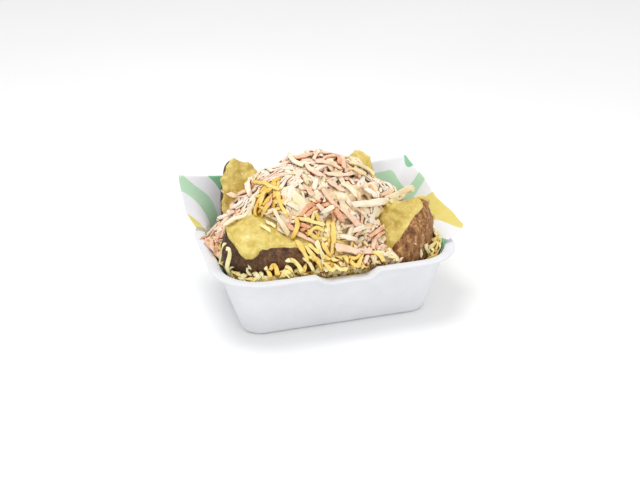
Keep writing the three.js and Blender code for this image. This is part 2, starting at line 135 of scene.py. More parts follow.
MOUND = dict(
    centre=(-2, 3), left=87, right=74, front=56, back=56,
    foot=36, rim=47, peak=112, roundness=1.9, sink=5.0,
)
SHOULDERS = [((-44, 18), 13, 7.0), ((57, -2), 11, 12.0)]  # where the mound swells, how wide, how high
SLAW_BEDS = [
    ((-79, 5, 49.5), (11, 16, 4.5)),
    ((18, -45, 45), (22, 11, 6.5)),
]
CHEESE_BEDS = [
    ((-26, -47, 44.5), (45, 10, 6)),
    ((78, -31, 47.5), (15, 13, 7)),
    ((-76, -33, 46), (8, 10, 6)),
]
BED_DEPTH = 2.0  # how far a cheese bed's solid core lies under its shreds
CORE_DEPTH = 2.0  # and the mound's core under its flakes
EVERYWHERE = ((0, 0, 60), (120, 90, 90))
CROWN = ((0, 6, 108), (48, 40, 24))
LEFT_FLANK = ((-66, 6, 72), (16, 26, 24))
RIGHT_FLANK = ((54, 8, 72), (26, 24, 30))
BACK = ((0, 46, 72), (62, 20, 30))
FOOD_CLEARANCE = 1.5  # from the tray's inner face to the food
SHREDS_AT_WALL = 3.0  # how thick the shreds lie between the wall and what they lie on
LEAST_AT_WALL = 0.3  # each shred keeps off the wall by the clearance and between this and that
PAPER_SIDE = (60, 25, 12)  # beyond this x or this y the paper stands, and food keeps off it this high

IMAGE_WIDTH, IMAGE_HEIGHT = 640, 480
SENSOR = 36.0
CAMERA = dict(
    azimuth=-16.67, elevation=25.77, distance=700.0, aim=(0, 0, 40),
    focal_px=945.0, aim_px=(322.91, 248.79),
)

FLOOR_REACH = 4000.0
WORLD_LIGHT = 0.85
LIGHT_AIM = (0, 0, 0.04)  # in metres, as are the lights' places and sizes; their power is in watts
LIGHTS = [("key", (-0.2, 0.05, 1.2), 0.6, 4.6), ("front", (0.1, -0.9, 0.6), 0.7, 0.8)]

FLAKES, STRIPS = 760, 420  # in the creamy mass
SLAW_VOXEL = 0.8  # grain to which flakes and strips melt together
SLAW_KEPT = 0.55  # share of the faces kept after that
BARE_TINT = 0.4  # of the mass where no flake or strip shows
LUMP_THICK, LUMP_RAISE, FAN_THICK = 4.0, 2.4, 1.4
HERO_CAP = 9.0  # how high over the ground a shred with a place of its own may lie
HOLLOW_START, HOLLOW_REACH = 0.3, 6.0  # from and to how far off a point its neighbours shade it
# Large pale lumps: their middle in the image, and half their length in mm.
LUMPS = [
    (296, 206, 10), (339, 196, 8), (286, 196, 8), (351, 232, 8), (289, 219, 6), (321, 181, 8),
    (357, 183, 8), (318, 199, 8), (345, 215, 7), (366, 214, 8), (366, 238, 7), (307, 178, 7),
]
# Shreds with a place of their own: width in mm, tint from 0 pale to 1 strong, and then across and
# down for each of two or three points of the image.
CARROT = [
    (2.8, 0.55, 290, 160.5, 300, 159.5, 312, 156.5), (2.4, 0.2, 305.5, 150.5, 311.5, 158),
    (2.8, 0.4, 313.5, 160.5, 321.5, 155.7, 337, 153.7),
    (2.4, 0.6, 322, 161, 330, 157.7, 338, 159), (3.6, 0.8, 337, 156, 339.5, 165),
    (3.2, 0.5, 341.6, 157, 343, 169), (3.0, 0.35, 306, 165, 312, 173, 323, 176),
    (3.0, 0.45, 316, 162.4, 328, 163.4, 340, 170), (2.8, 0.3, 325, 174, 336, 176, 351, 175.5),
    (3.0, 0.6, 344, 170.5, 359, 178.5), (3.2, 0.75, 369, 185.5, 373.3, 197),
    (3.2, 0.5, 306.5, 188, 313, 196), (3.2, 0.5, 322, 189, 331, 203, 338, 210),
    (3.8, 0.45, 341, 208, 350, 219, 359, 228), (3.8, 0.75, 333.5, 209, 342.5, 222),
    (5.2, 0.45, 334.5, 247, 351, 250.5, 368, 255.5), (2.6, 0.5, 368, 254, 367, 262, 359, 266.5),
    (3.0, 0.45, 373, 239, 370, 253), (2.8, 0.65, 368.5, 237, 382, 227),
    (2.6, 0.7, 371, 241, 384, 231), (3.0, 0.6, 295, 232, 306, 238, 317, 244.5),
    (4.2, 0.7, 280, 223.5, 294, 229), (3.4, 0.45, 233, 197.5, 248.5, 191.5),
    (3.0, 0.45, 232.5, 200, 234, 214), (3.2, 0.6, 272.5, 199, 265, 213),
    (2.8, 0.55, 199, 230, 209, 241), (2.8, 0.65, 205, 233, 214.5, 242.5, 219, 249),
    (3.0, 0.3, 213.5, 235, 217, 221.5), (3.8, 0.4, 221, 234, 230, 218),
    (2.6, 0.85, 210, 243, 219, 251), (2.4, 0.7, 201, 238, 212, 248),
    (2.6, 0.75, 299, 224, 311, 228), (2.4, 0.8, 301, 231, 310, 226),
    (3.0, 0.5, 380, 196, 392, 190.5), (3.0, 0.25, 317, 204, 326, 215),
    (2.8, 0.4, 327, 181, 337, 189, 345, 191), (3.2, 0.5, 222, 240, 230, 229, 237, 222),
    (2.8, 0.6, 219, 241, 226, 231),
]
CABBAGE = [
    (5.0, 0.35, 350, 206, 367, 204, 385, 202), (4.0, 0.6, 382, 200, 397, 194, 411, 187.5),
    (3.6, 0.7, 386, 204, 400, 196, 413, 190), (3.2, 0.75, 348, 163.5, 362, 168.5, 373, 175.5),
    (3.0, 0.8, 352, 168.5, 363, 175), (4.0, 0.3, 250.5, 179, 251.5, 195),
    (3.2, 0.6, 259.5, 192, 256.4, 203, 249, 216), (3.2, 0.5, 235, 220, 246, 215.5, 254, 207),
    (3.2, 0.5, 274.5, 209, 280.7, 221, 289, 235), (2.8, 0.5, 264.5, 214.5, 273.5, 210.5),
    (3.2, 0.3, 218, 221.5, 229, 216), (3.8, 0.2, 236, 209, 243, 202),
    (3.4, 0.2, 363, 190.5, 374, 199), (3.6, 0.4, 292, 163, 304, 166.5),
    (3.0, 0.3, 264, 167, 273, 173), (3.4, 0.35, 352, 231, 364, 227),
    (3.2, 0.3, 340, 236, 356, 240), (3.2, 0.4, 321, 213, 334, 207),
    (3.0, 0.35, 340, 184, 351, 190, 355, 198), (3.0, 0.3, 288, 203, 299, 209),
    (3.2, 0.45, 226, 227, 234, 221, 244, 217.5), (3.0, 0.35, 223, 234, 230, 226),
]
CHEDDAR = [
    (3.2, 0.75, 332.8, 222.5, 333, 238, 331.5, 254), (2.8, 0.8, 296, 218, 297.8, 227, 292, 239),
    (3.4, 0.7, 297, 241, 304, 252, 313, 265), (2.8, 0.55, 305, 246, 318.5, 262),
    (2.6, 0.6, 308, 244.5, 319, 253.5), (3.2, 0.25, 316, 241, 320, 251, 327, 262),
    (2.8, 0.8, 322, 243, 330, 257.5), (2.4, 0.7, 309, 235, 315, 227, 323.5, 231.5),
    (2.6, 0.45, 297.5, 218, 310, 221, 325, 226), (2.6, 0.75, 320, 266, 332, 270.5),
    (2.4, 0.55, 329.5, 259.5, 337.5, 264.5), (3.0, 0.95, 343, 259, 354.5, 264.5),
    (2.8, 0.9, 346, 264.5, 353, 258.5), (2.8, 0.8, 264, 182, 271, 188),
    (2.6, 0.6, 269.5, 186.5, 280, 190), (2.6, 0.9, 255, 182.5, 264, 184),
    (2.6, 0.9, 262.5, 197, 258.7, 206, 256, 216), (2.8, 0.85, 273, 189, 265, 198, 261, 206),
    (2.6, 0.75, 267, 190, 260, 200), (2.4, 0.9, 270, 197, 264, 206),
    (2.4, 0.85, 268, 205, 262, 216), (2.4, 0.3, 262, 225, 271, 231.5),
    (2.4, 0.25, 266, 221, 276, 227), (3.0, 0.9, 270.5, 271, 276.5, 269, 275.5, 276),
    (2.8, 0.15, 240.5, 274.5, 250, 276, 259.5, 276.5), (2.8, 0.15, 241.5, 271, 249, 267.5),
    (2.8, 0.15, 260.5, 268, 262, 277), (2.6, 0.2, 266, 267.5, 267, 276),
    (2.8, 0.15, 286, 264, 293, 267, 301, 271), (2.6, 0.5, 279, 277, 290, 273.5),
    (2.6, 0.3, 223, 269, 223.5, 256.5, 227, 253.5),
    (2.6, 0.3, 226.5, 253.5, 230.3, 257, 230.5, 271), (2.6, 0.1, 417, 244, 424.5, 254),
    (2.6, 0.2, 427, 245, 430, 252), (2.6, 0.6, 427, 256, 437, 251),
    (2.6, 0.5, 438, 240.5, 445, 244.5), (2.6, 0.65, 430, 254, 442, 247.5),
    (3.0, 0.8, 313.7, 255.7, 316, 263, 320.2, 268.6),
    (2.8, 0.5, 324.5, 264.3, 330, 271, 337.4, 273.5),
    (3.0, 0.65, 337.4, 255.7, 343, 260, 348.2, 266.5), (2.8, 0.9, 348.2, 257.8, 360, 262.2),
    (2.8, 0.7, 350.3, 269.7, 363.3, 264.3), (3.0, 0.4, 334, 269, 341, 272, 350, 271.5),
    (2.6, 0.55, 359, 269.5, 369.7, 266), (3.0, 0.75, 324.5, 255.7, 326, 262, 331, 268.6),
    (2.8, 0.6, 291, 267, 303, 272), (2.8, 0.35, 303, 266, 314, 272),
]
# Beds of loose shreds: kind, how many, the ellipsoid that they lie in, and their range of tints.
BEDS = [
    ("carrot", 46, EVERYWHERE, (0.0, 0.5)),
    ("carrot", 36, CROWN, (0.0, 0.5)),
    ("carrot", 24, ((-76, 0, 55), (16, 20, 16)), (0.3, 0.9)),
    ("carrot", 14, ((-28, -30, 70), (20, 20, 20)), (0.4, 0.9)),
    ("carrot", 20, ((30, -36, 60), (24, 20, 20)), (0.2, 0.7)),
    ("cabbage", 70, EVERYWHERE, (0.0, 0.7)),
    ("cabbage", 40, CROWN, (0.0, 0.7)),
    ("crumb", 110, ((34, -42, 58), (18, 18, 18)), (0.2, 0.9)),
    ("crumb", 260, EVERYWHERE, (0.0, 0.9)),
    ("cheddar", 100, ((-18, -44, 60), (20, 18, 20)), (0.1, 0.95)),
    ("cheddar", 120, ((-20, -50, 48), (56, 12, 12)), (0.15, 0.85)),
    ("crumb", 50, ((24, -50, 46), (22, 10, 8)), (0.2, 0.9)),
    ("cheddar", 14, ((-43, -15, 90), (9, 11, 13)), (0.5, 1.0)),
    ("cheddar", 80, ((78, -32, 50), (18, 16, 12)), (0.2, 0.85)),
    ("cheddar", 26, ((-76, -34, 48), (12, 12, 12)), (0.1, 0.5)),
    ("cabbage", 34, RIGHT_FLANK, (0.0, 0.7)),
    ("carrot", 18, RIGHT_FLANK, (0.1, 0.6)),
    ("cabbage", 40, BACK, (0.0, 0.7)),
    ("carrot", 20, BACK, (0.1, 0.6)),
    ("cheddar", 46, ((2, -50, 47), (22, 12, 10)), (0.2, 0.9)),
    ("cabbage", 34, LEFT_FLANK, (0.0, 0.7)),
    ("carrot", 22, LEFT_FLANK, (0.2, 0.7)),
]
# Curl is how far a shred turns, sink how deep it presses in, and lift how far its ends may stand off.
# Thick is a share of the width.
KINDS = {
    "carrot": dict(width=(1.7, 3.2), thick=(0.4, 0.6), length=(14, 32), curl=2.4, sink=0.9, lift=3.5),
    "cabbage": dict(width=(1.8, 4.0), thick=(0.3, 0.45), length=(12, 28), curl=1.5, sink=0.7, lift=2),
    "cheddar": dict(width=(2.0, 3.3), thick=(0.4, 0.6), length=(14, 30), curl=1.3, sink=0.5, lift=2.5),
    "crumb": dict(width=(1.4, 2.8), thick=(0.6, 0.9), length=(5, 7), curl=0.6, sink=0.4, lift=0.5),
}
PIECE_OF = {"carrot": "carrot", "cabbage": "cabbage", "crumb": "cabbage", "cheddar": "cheddar"}
# Short thin strands side by side, as a chunk of cabbage shows at its cut: the two ends of the middle
# strand in the image, how many, and how far apart in mm.
FANS = [
    ((258, 187), (289, 166), 9, 1.7),
    ((283, 190), (300, 170), 5, 1.8),
]


# ---- Helpers ----

def outward(points, faces):
    """The faces of a closed surface, turned so that their normals point out of it."""
    first, second, third, last = (points[[face[k] for face in faces]] for k in (0, 1, 2, -1))
    volume = (first * (np.cross(second, third) + np.cross(third, last))).sum()
    return faces if volume > 0 else [tuple(reversed(face)) for face in faces]


def linked(name, data):
    """An object in the scene with a mesh, a light or a camera as its data."""
    made = bpy.data.objects.new(name, data)
    bpy.context.collection.objects.link(made)
    return made


def mesh_object(name, points, faces):
    """A smooth mesh object from points in millimetres."""
    mesh = bpy.data.meshes.new(name)
    mesh.from_pydata((np.asarray(points) * MM).tolist(), [], faces)
    mesh.update()
    mesh.polygons.foreach_set("use_smooth", [True] * len(mesh.polygons))
    return linked(name, mesh)


def points_of(thing):
    """A mesh's points in millimetres."""
    flat = np.zeros(len(thing.data.vertices) * 3)
    thing.data.vertices.foreach_get("co", flat)
    return flat.reshape(-1, 3) / MM


def normals_of(thing):
    flat = np.zeros(len(thing.data.vertices) * 3)
    thing.data.vertex_normals.foreach_get("vector", flat)
    return flat.reshape(-1, 3)


def move_points(thing, points):
    thing.data.vertices.foreach_set("co", (points * MM).ravel())
    thing.data.update()


def baked(source, name):
    """A copy of an object with its modifiers applied. The source is removed."""
    depsgraph = bpy.context.evaluated_depsgraph_get()
    made = linked(name, bpy.data.meshes.new_from_object(source.evaluated_get(depsgraph)))
    bpy.data.objects.remove(source)
    return made


def set_values(target, name, values):
    attribute = target.data.attributes.new(name, "FLOAT", "POINT")
    attribute.data.foreach_set("value", np.asarray(values, float))


def band(rows, count, start=0):
    """The faces between closed rows of points that follow each other, from point number start on."""
    faces = []
    for row in range(start, start + (rows - 1) * count, count):
        for k in range(count):
            n = (k + 1) % count
            faces.append((row + k, row + n, row + count + n, row + count + k))
    return faces


def loft(rings):
    """Points and faces through rings of equal length, closed by a fan at each end."""
    rings = [np.asarray(ring, float) for ring in rings]
    count = len(rings[0])
    faces = band(len(rings), count)
    first, last = len(rings) * count, len(rings) * count + 1
    start = (len(rings) - 1) * count
    for k in range(count):
        n = (k + 1) % count
        faces.append((first, n, k))
        faces.append((last, start + k, start + n))
    points = np.vstack(rings + [rings[0].mean(0), rings[-1].mean(0)])
    return points, outward(points, faces)


def value_noise(points, size, seed):
    """Smooth noise from -1 to 1, with bumps about size across."""
    p = np.asarray(points, float) / size + seed * 17.13
    cell = np.floor(p).astype(np.int64)
    f = p - cell
    f = f * f * (3 - 2 * f)
    total = np.zeros(len(p))
    for corner in np.ndindex(2, 2, 2):
        at = cell + np.array(corner)
        h = at[:, 0] * 374761393 + at[:, 1] * 668265263 + at[:, 2] * 1442695041 + seed * 974711
        h = ((h ^ (h >> 13)) * 1274126177) & 0xFFFFFFFF
        h = (h ^ (h >> 16)) & 0xFFFFFFFF
        weight = np.prod(np.where(corner, f, 1 - f), axis=1)
        total += weight * (h / 2147483648.0 - 1)
    return total


def fractal(points, size, seed, octaves=3):
    """Noise with finer and weaker layers added."""
    return sum(value_noise(points, size / 2**k, seed + k) / 2**k for k in range(octaves))


def bezier(points, t):
    a, b, c = (np.array(p, float) for p in points)
    return a * (1 - t) ** 2 + b * 2 * t * (1 - t) + c * t**2


def clamp(value, low, high):
    return max(low, min(high, value))


def smooth_step(values, low, high):
    share = np.clip((values - low) / (high - low), 0, 1)
    return share * share * (3 - 2 * share)


def blurred(values, times):
    """A row of values, each drawn towards its neighbours."""
    for _ in range(times):
        middle = (values[:-2] + values[1:-1] * 2 + values[2:]) / 4
        values = np.concatenate([values[:1], middle, values[-1:]])
    return values


def resample(route, count):
    """A polyline's points spread evenly along its length."""
    route = np.array(route, float)
    along = np.concatenate([[0], np.cumsum(norm(np.diff(route, axis=0), axis=1))])
    at = np.linspace(0, along[-1], count)
    return np.column_stack([np.interp(at, along, route[:, k]) for k in range(route.shape[1])])


# ---- Materials ----

def srgb(red, green, blue):
    """A colour given in 8-bit display values, as linear values."""
    def linear(channel):
        share = channel / 255
        return share / 12.92 if share <= 0.04045 else ((share + 0.055) / 1.055) ** 2.4
    return (linear(red), linear(green), linear(blue), 1.0)


class Nodes:
    """A material's node tree with short ways to add nodes to it."""

    def __init__(self, name, **constants):
        self.material = bpy.data.materials.new(name)
        self.material.use_nodes = True
        self.tree = self.material.node_tree
        self.shader = self.tree.nodes["Principled BSDF"]
        for socket, value in constants.items():
            self.shader.inputs[socket.replace("_", " ")].default_value = value

    def soft_inside(self, weight, reach):
        """Lets light in, as in moist food: reach in millimetres."""
        self.shader.inputs["Subsurface Weight"].default_value = weight
        self.shader.inputs["Subsurface Radius"].default_value = (1.0, 0.55, 0.28)
        self.shader.inputs["Subsurface Scale"].default_value = reach * MM

    def feed(self, socket, value):
        if isinstance(value, bpy.types.NodeSocket):
            self.tree.links.new(value, socket)
        else:
            socket.default_value = value

    def add(self, kind, inputs=None, **settings):
        node = self.tree.nodes.new(kind)
        for key, value in settings.items():
            setattr(node, key, value)
        for key, value in (inputs or {}).items():
            self.feed(node.inputs[key], value)
        return node

    def noise(self, size, detail=3.0, rough=0.55, stretch=None, where=None):
        """Noise with features of a size in millimetres."""
        where = where or self.add("ShaderNodeTexCoord").outputs["Object"]
        if stretch:
            where = self.add("ShaderNodeMapping", {"Vector": where, "Scale": stretch}).outputs["Vector"]
        settings = {"Vector": where, "Scale": 1 / (size * MM), "Detail": detail, "Roughness": rough}
        return self.add("ShaderNodeTexNoise", settings).outputs["Fac"]

    def ramp(self, value, stops, interpolation="LINEAR"):
        node = self.add("ShaderNodeValToRGB", {"Fac": value})
        node.color_ramp.interpolation = interpolation
        elements = node.color_ramp.elements
        while len(elements) < len(stops):
            elements.new(0.5)
        for element, (position, colour) in zip(elements, stops):
            element.position = position
            element.color = colour
        return node.outputs["Color"]

    def shades(self, value, *stops, **settings):
        """A ramp through colours, each given by its position and its 8-bit display values."""
        return self.ramp(value, [(place, srgb(*colour)) for place, *colour in stops], **settings)

    def mask(self, value, low, high):
        """0 below low, 1 above high."""
        return self.ramp(value, [(low, (0, 0, 0, 1)), (high, (1, 1, 1, 1))])

    def mix(self, share, first, second):
        node = self.add("ShaderNodeMix", data_type="RGBA")
        self.feed(node.inputs[0], share)
        self.feed(node.inputs[6], first)
        self.feed(node.inputs[7], second)
        return node.outputs[2]

    def math(self, operation, first, second=0.0):
        node = self.add("ShaderNodeMath", operation=operation)
        self.feed(node.inputs[0], first)
        self.feed(node.inputs[1], second)
        return node.outputs[0]

    def swing(self, value, reach):
        """Noise turned into a value from about -reach / 2 to reach / 2."""
        return self.math("MULTIPLY", self.math("SUBTRACT", value, 0.5), reach)

    def attribute(self, name):
        return self.add("ShaderNodeAttribute", attribute_name=name).outputs["Fac"]

    def bump(self, height, depth, strength=1.0):
        """Bump with a depth in millimetres."""
        settings = {"Height": height, "Distance": depth * MM, "Strength": strength}
        self.feed(self.shader.inputs["Normal"], self.add("ShaderNodeBump", settings).outputs["Normal"])

    def colour(self, value):
        self.feed(self.shader.inputs["Base Color"], value)


def pulp_material():
    n = Nodes("pulp", Roughness=0.8, Specular_IOR_Level=0.25)
    fibres = n.noise(0.9, 4, 0.7, stretch=(0.5, 0.5, 1.6))
    base = n.shades(n.noise(22), (0.3, 227, 228, 232), (0.7, 234, 235, 238))
    n.colour(n.mix(n.mask(fibres, 0.55, 0.95), base, srgb(206, 207, 215)))
    n.bump(fibres, 0.1, 0.6)
    return n.material


def paper_material():
    """White paper printed with broad wavy bands in two greens and a yellow, laid out on the flat sheet."""
    n = Nodes("printed_paper", Roughness=0.5, Specular_IOR_Level=0.3)
    flat = n.add("ShaderNodeUVMap", uv_map="flat").outputs["UV"]
    x, y, _ = n.add("ShaderNodeSeparateXYZ", {0: flat}).outputs
    across = n.math("ADD", n.math("MULTIPLY", x, 0.62), n.math("MULTIPLY", y, 0.78))
    along = n.math("SUBTRACT", n.math("MULTIPLY", y, 0.62), n.math("MULTIPLY", x, 0.78))
    wave = n.math("MULTIPLY", n.math("SINE", n.math("MULTIPLY", along, 85.0)), 0.009)
    place = n.math("ADD", n.math("ADD", across, wave), n.swing(n.noise(60, 1, where=flat), 0.022))
    turn = n.math("FRACT", n.math("ADD", n.math("DIVIDE", place, 0.126), 10.16))
    white = (241, 242, 246)
    bands = [
        (0.0, 184, 223, 188), (0.20, *white), (0.36, 126, 198, 148),
        (0.50, *white), (0.66, 230, 212, 108), (0.84, *white),
    ]
    wash = n.math("MULTIPLY", n.mask(n.noise(9, 4), 0.35, 0.8), 0.18)
    n.colour(n.mix(wash, n.shades(turn, *bands, interpolation="CONSTANT"), srgb(*white)))
    n.bump(n.noise(6, 3), 0.22, 0.5)
    return n.material


def potato_material():
    n = Nodes("baked_potato", Specular_IOR_Level=0.45)
    n.soft_inside(0.15, 1.6)
    is_skin = n.mask(n.math("ADD", n.attribute("rind"), n.swing(n.noise(2.6, 3), 0.35)), 0.46, 0.54)
    grain = n.noise(7, 5, 0.6)
    fluffy = [(0.3, 206, 178, 80), (0.48, 227, 203, 107), (0.62, 238, 219, 131), (0.74, 247, 234, 164)]
    fluffy = n.shades(grain, *fluffy)
    # Painted shade: a darker, browner flesh, mixed in by each petal's baked share.
    painted_shade_flesh = n.shades(grain, (0.3, 154, 120, 44), (0.5, 190, 158, 70), (0.7, 220, 196, 106))
    flesh = n.mix(n.math("ADD", n.attribute("baked"), n.swing(n.noise(12, 2), 0.5)), fluffy, painted_shade_flesh)
    # Painted highlight: small near-white specks mixed into the flesh's colour as glints.
    painted_sparkle = n.math("MULTIPLY", n.mask(n.noise(2.2, 2), 0.62, 0.74), 0.7)
    flesh = n.mix(painted_sparkle, flesh, srgb(255, 248, 204))
    dark = [(0.36, 20, 11, 7), (0.5, 58, 34, 20), (0.6, 94, 64, 38), (0.7, 154, 122, 84)]
    dark = n.shades(n.noise(2.6, 7, 0.78), *dark)
    # The palest stop of the light skin is partly the skin's own pale flecks and partly painted highlight.
    light = [(0.34, 62, 32, 14), (0.46, 132, 84, 44), (0.56, 186, 134, 80), (0.68, 240, 202, 146)]
    light = n.shades(n.noise(5.5, 8, 0.78, stretch=(1.6, 1.6, 0.8)), *light)
    n.colour(n.mix(is_skin, flesh, n.mix(n.attribute("tone"), dark, light)))
    n.feed(n.shader.inputs["Roughness"], n.math("ADD", n.math("MULTIPLY", is_skin, 0.22), 0.42))
    n.bump(n.noise(1.5, 5, 0.7), 0.6, 0.8)
    return n.material


# Dressed and grated food: colours from the palest tint to the strongest, the colour of the painted
# shade in the hollows between shreds, roughness, and the grain and depth of the bump in mm.
MOIST = {
    "creamy_slaw": (
        [
            (0.0, 252, 236, 182), (0.25, 254, 241, 212), (0.55, 252, 224, 182),
            (0.8, 244, 194, 140), (1.0, 230, 150, 88),
        ],
        (156, 76, 24), 0.4, 2.0, 0.6,
    ),
    "carrot": (
        [(0.1, 252, 234, 214), (0.5, 247, 210, 178), (1.0, 230, 150, 96)],
        (164, 74, 26), 0.36, 1.4, 0.2,
    ),
    "cabbage": (
        [(0.1, 251, 240, 226), (0.5, 250, 234, 200), (0.9, 244, 224, 160)],
        (166, 92, 32), 0.38, 1.6, 0.2,
    ),
    "grated_cheese": (
        [(0.1, 251, 244, 204), (0.5, 250, 230, 146), (1.0, 246, 196, 78)],
        (176, 112, 30), 0.45, 1.2, 0.18,
    ),
}


def moist_material(name):
    """One of the moist finishes: each shred's tint, and the painted shade of its hollows, are read from the
    mesh.
    """
    stops, hollow, roughness, grain, depth = MOIST[name]
    n = Nodes(name, Roughness=roughness, Specular_IOR_Level=0.5)
    n.soft_inside(0.15, 1.5)
    mottle = n.math("ADD", n.swing(n.noise(4.5, 4, 0.65), 0.9), n.swing(n.noise(1.4, 3), 0.35))
    skin = n.shades(n.math("ADD", n.attribute("tint"), mottle), *stops)
    # Painted shade: the more closed in a point is, the more its colour turns to the dark shade colour.
    deep = [(0.24, (0, 0, 0, 1)), (0.46, (0.3, 0.3, 0.3, 1)), (0.7, (1, 1, 1, 1))]
    deep = n.ramp(n.attribute("hollow"), deep)
    n.colour(n.mix(deep, skin, srgb(*hollow)))
    n.bump(n.noise(grain, 4), depth, 0.7)
    return n.material


def floor_material():
    n = Nodes("floor", Roughness=0.9, Specular_IOR_Level=0.1)
    n.colour(n.ramp(n.noise(400, 2), [(0.3, (0.94, 0.94, 0.94, 1)), (0.7, (0.96, 0.96, 0.96, 1))]))
    return n.material


# ---- Tray ----

def rim_stations(arc_step, side_step):
    """Points round the rim's outer edge from the right, anticlockwise, each with its outward normal."""
    quarters = [(1, 1), (-1, 1), (-1, -1), (1, -1), (1, 1)]
    stations = []
    for quarter in range(4):
        centre = CORE * quarters[quarter]
        for degree in np.arange(0, 90, arc_step):
            angle = math.radians(quarter * 90 + degree)
            normal = np.array([math.cos(angle), math.sin(angle)])
            stations.append((centre + CORNER_RADIUS * normal, normal))
        normal = np.array([(0, 1), (-1, 0), (0, -1), (1, 0)][quarter], float)
        start = centre + CORNER_RADIUS * normal
        end = CORE * quarters[quarter + 1] + CORNER_RADIUS * normal
        count = int(norm(end - start) / side_step)
        stations += [(start + (end - start) * k / count, normal) for k in range(count)]
    return stations


def dip(place, normal):
    """How far the rim dips at a station."""
    if abs(normal[1]) < 0.999:
        return 0.0
    return NOTCH_DEPTH * smooth_step(NOTCH_TOP / 2 - abs(place[0]), 0, (NOTCH_TOP - NOTCH_BOTTOM) / 2)


def inset(place, normal, d, z, along=0.0):
    """The point that is inset by d from the rim's outer edge, at height z."""
    return (
        place[0] - normal[0] * d - normal[1] * along,
        place[1] - normal[1] * d + normal[0] * along,
        z,
    )


def inner_wall(z):
    return FLANGE + SLOPE * (TRAY_HEIGHT - z)


def rounded(profile, radius, steps=4):
    """An open outline with each inner corner replaced by a short curve."""
    profile = [np.array(p, float) for p in profile]
    out = [profile[0]]
    for before, corner, after in zip(profile, profile[1:], profile[2:]):
        start, end = (
            corner + leg / norm(leg) * min(radius, norm(leg) * 0.45)
            for leg in (before - corner, after - corner)
        )
        out += [bezier((start, corner, end), t) for t in np.linspace(0, 1, steps)]
    return out + [profile[-1]]


def make_tray():
    top = TRAY_HEIGHT
    outer = [
        (inner_wall(0) + 12 - WALL, 0),
        (inner_wall(0) - WALL, 0),
        (inner_wall(20) - WALL, 20),
        (inner_wall(top - LIP) - WALL, top - LIP),
    ]
    rim = [(0.5, top - LIP - 0.1), (-0.1, top - LIP * 0.5), (0.5, top), (FLANGE - 0.8, top)]
    inner = [
        (inner_wall(top - 2.5), top - 2.5),
        (inner_wall(25), 25),
        (inner_wall(FLOOR), FLOOR),
        (inner_wall(FLOOR) + 14, FLOOR),
    ]
    rings = []
    stations = rim_stations(arc_step=4.0, side_step=4.0)
    for d, z in rounded(outer + rim + inner, TRAY_BEND):
        ring = []
        for place, normal in stations:
            drop = dip(place, normal) * clamp((z - 30) / (top - LIP - 30), 0, 1)
            ring.append(inset(place, normal, d + (SLOPE * drop if d > FLANGE - 2 else 0), z - drop))
        rings.append(ring)
    points, faces = loft(rings)
    tray = mesh_object("pulp_tray", points, faces)
    uneven = fractal(points, 16, 3, 2) * TRAY_UNEVEN * (points[:, 2] > 0.5)
    move_points(tray, points + normals_of(tray) * uneven[:, None])
    tray.data.materials.append(pulp_material())
    return tray


# ---- Paper ----

def bearing(x, y):
    """Bearing from the middle of the rim point nearest to a point outside the tray."""
    within = np.clip((x, y), -CORE, CORE)
    away = np.array([x, y]) - within
    rim = within + away / norm(away) * CORNER_RADIUS
    return math.atan2(rim[1], rim[0])


PAPER_BEARINGS = [bearing(x, y) for x, y, _ in PAPER_EDGE]


def paper_edge(place):
    """The sheet's free edge at a rim point, or None where it stays inside the tray."""
    here = bearing(*place)
    if not PAPER_BEARINGS[0] <= here <= PAPER_BEARINGS[-1]:
        return None
    return np.array([np.interp(here, PAPER_BEARINGS, PAPER_EDGE[:, k]) for k in range(3)])


def paper_wall_top(place, drop):
    """Where the sheet's part inside the tray ends: just over the rim where it flares out."""
    here = bearing(*place)
    off = max(PAPER_BEARINGS[0] - here, here - PAPER_BEARINGS[-1], 0)
    over = TRAY_HEIGHT + PAPER_OVER_RIM
    return over + (PAPER_LOW - over) * smooth_step(off, 0, PAPER_CLIMB) - drop


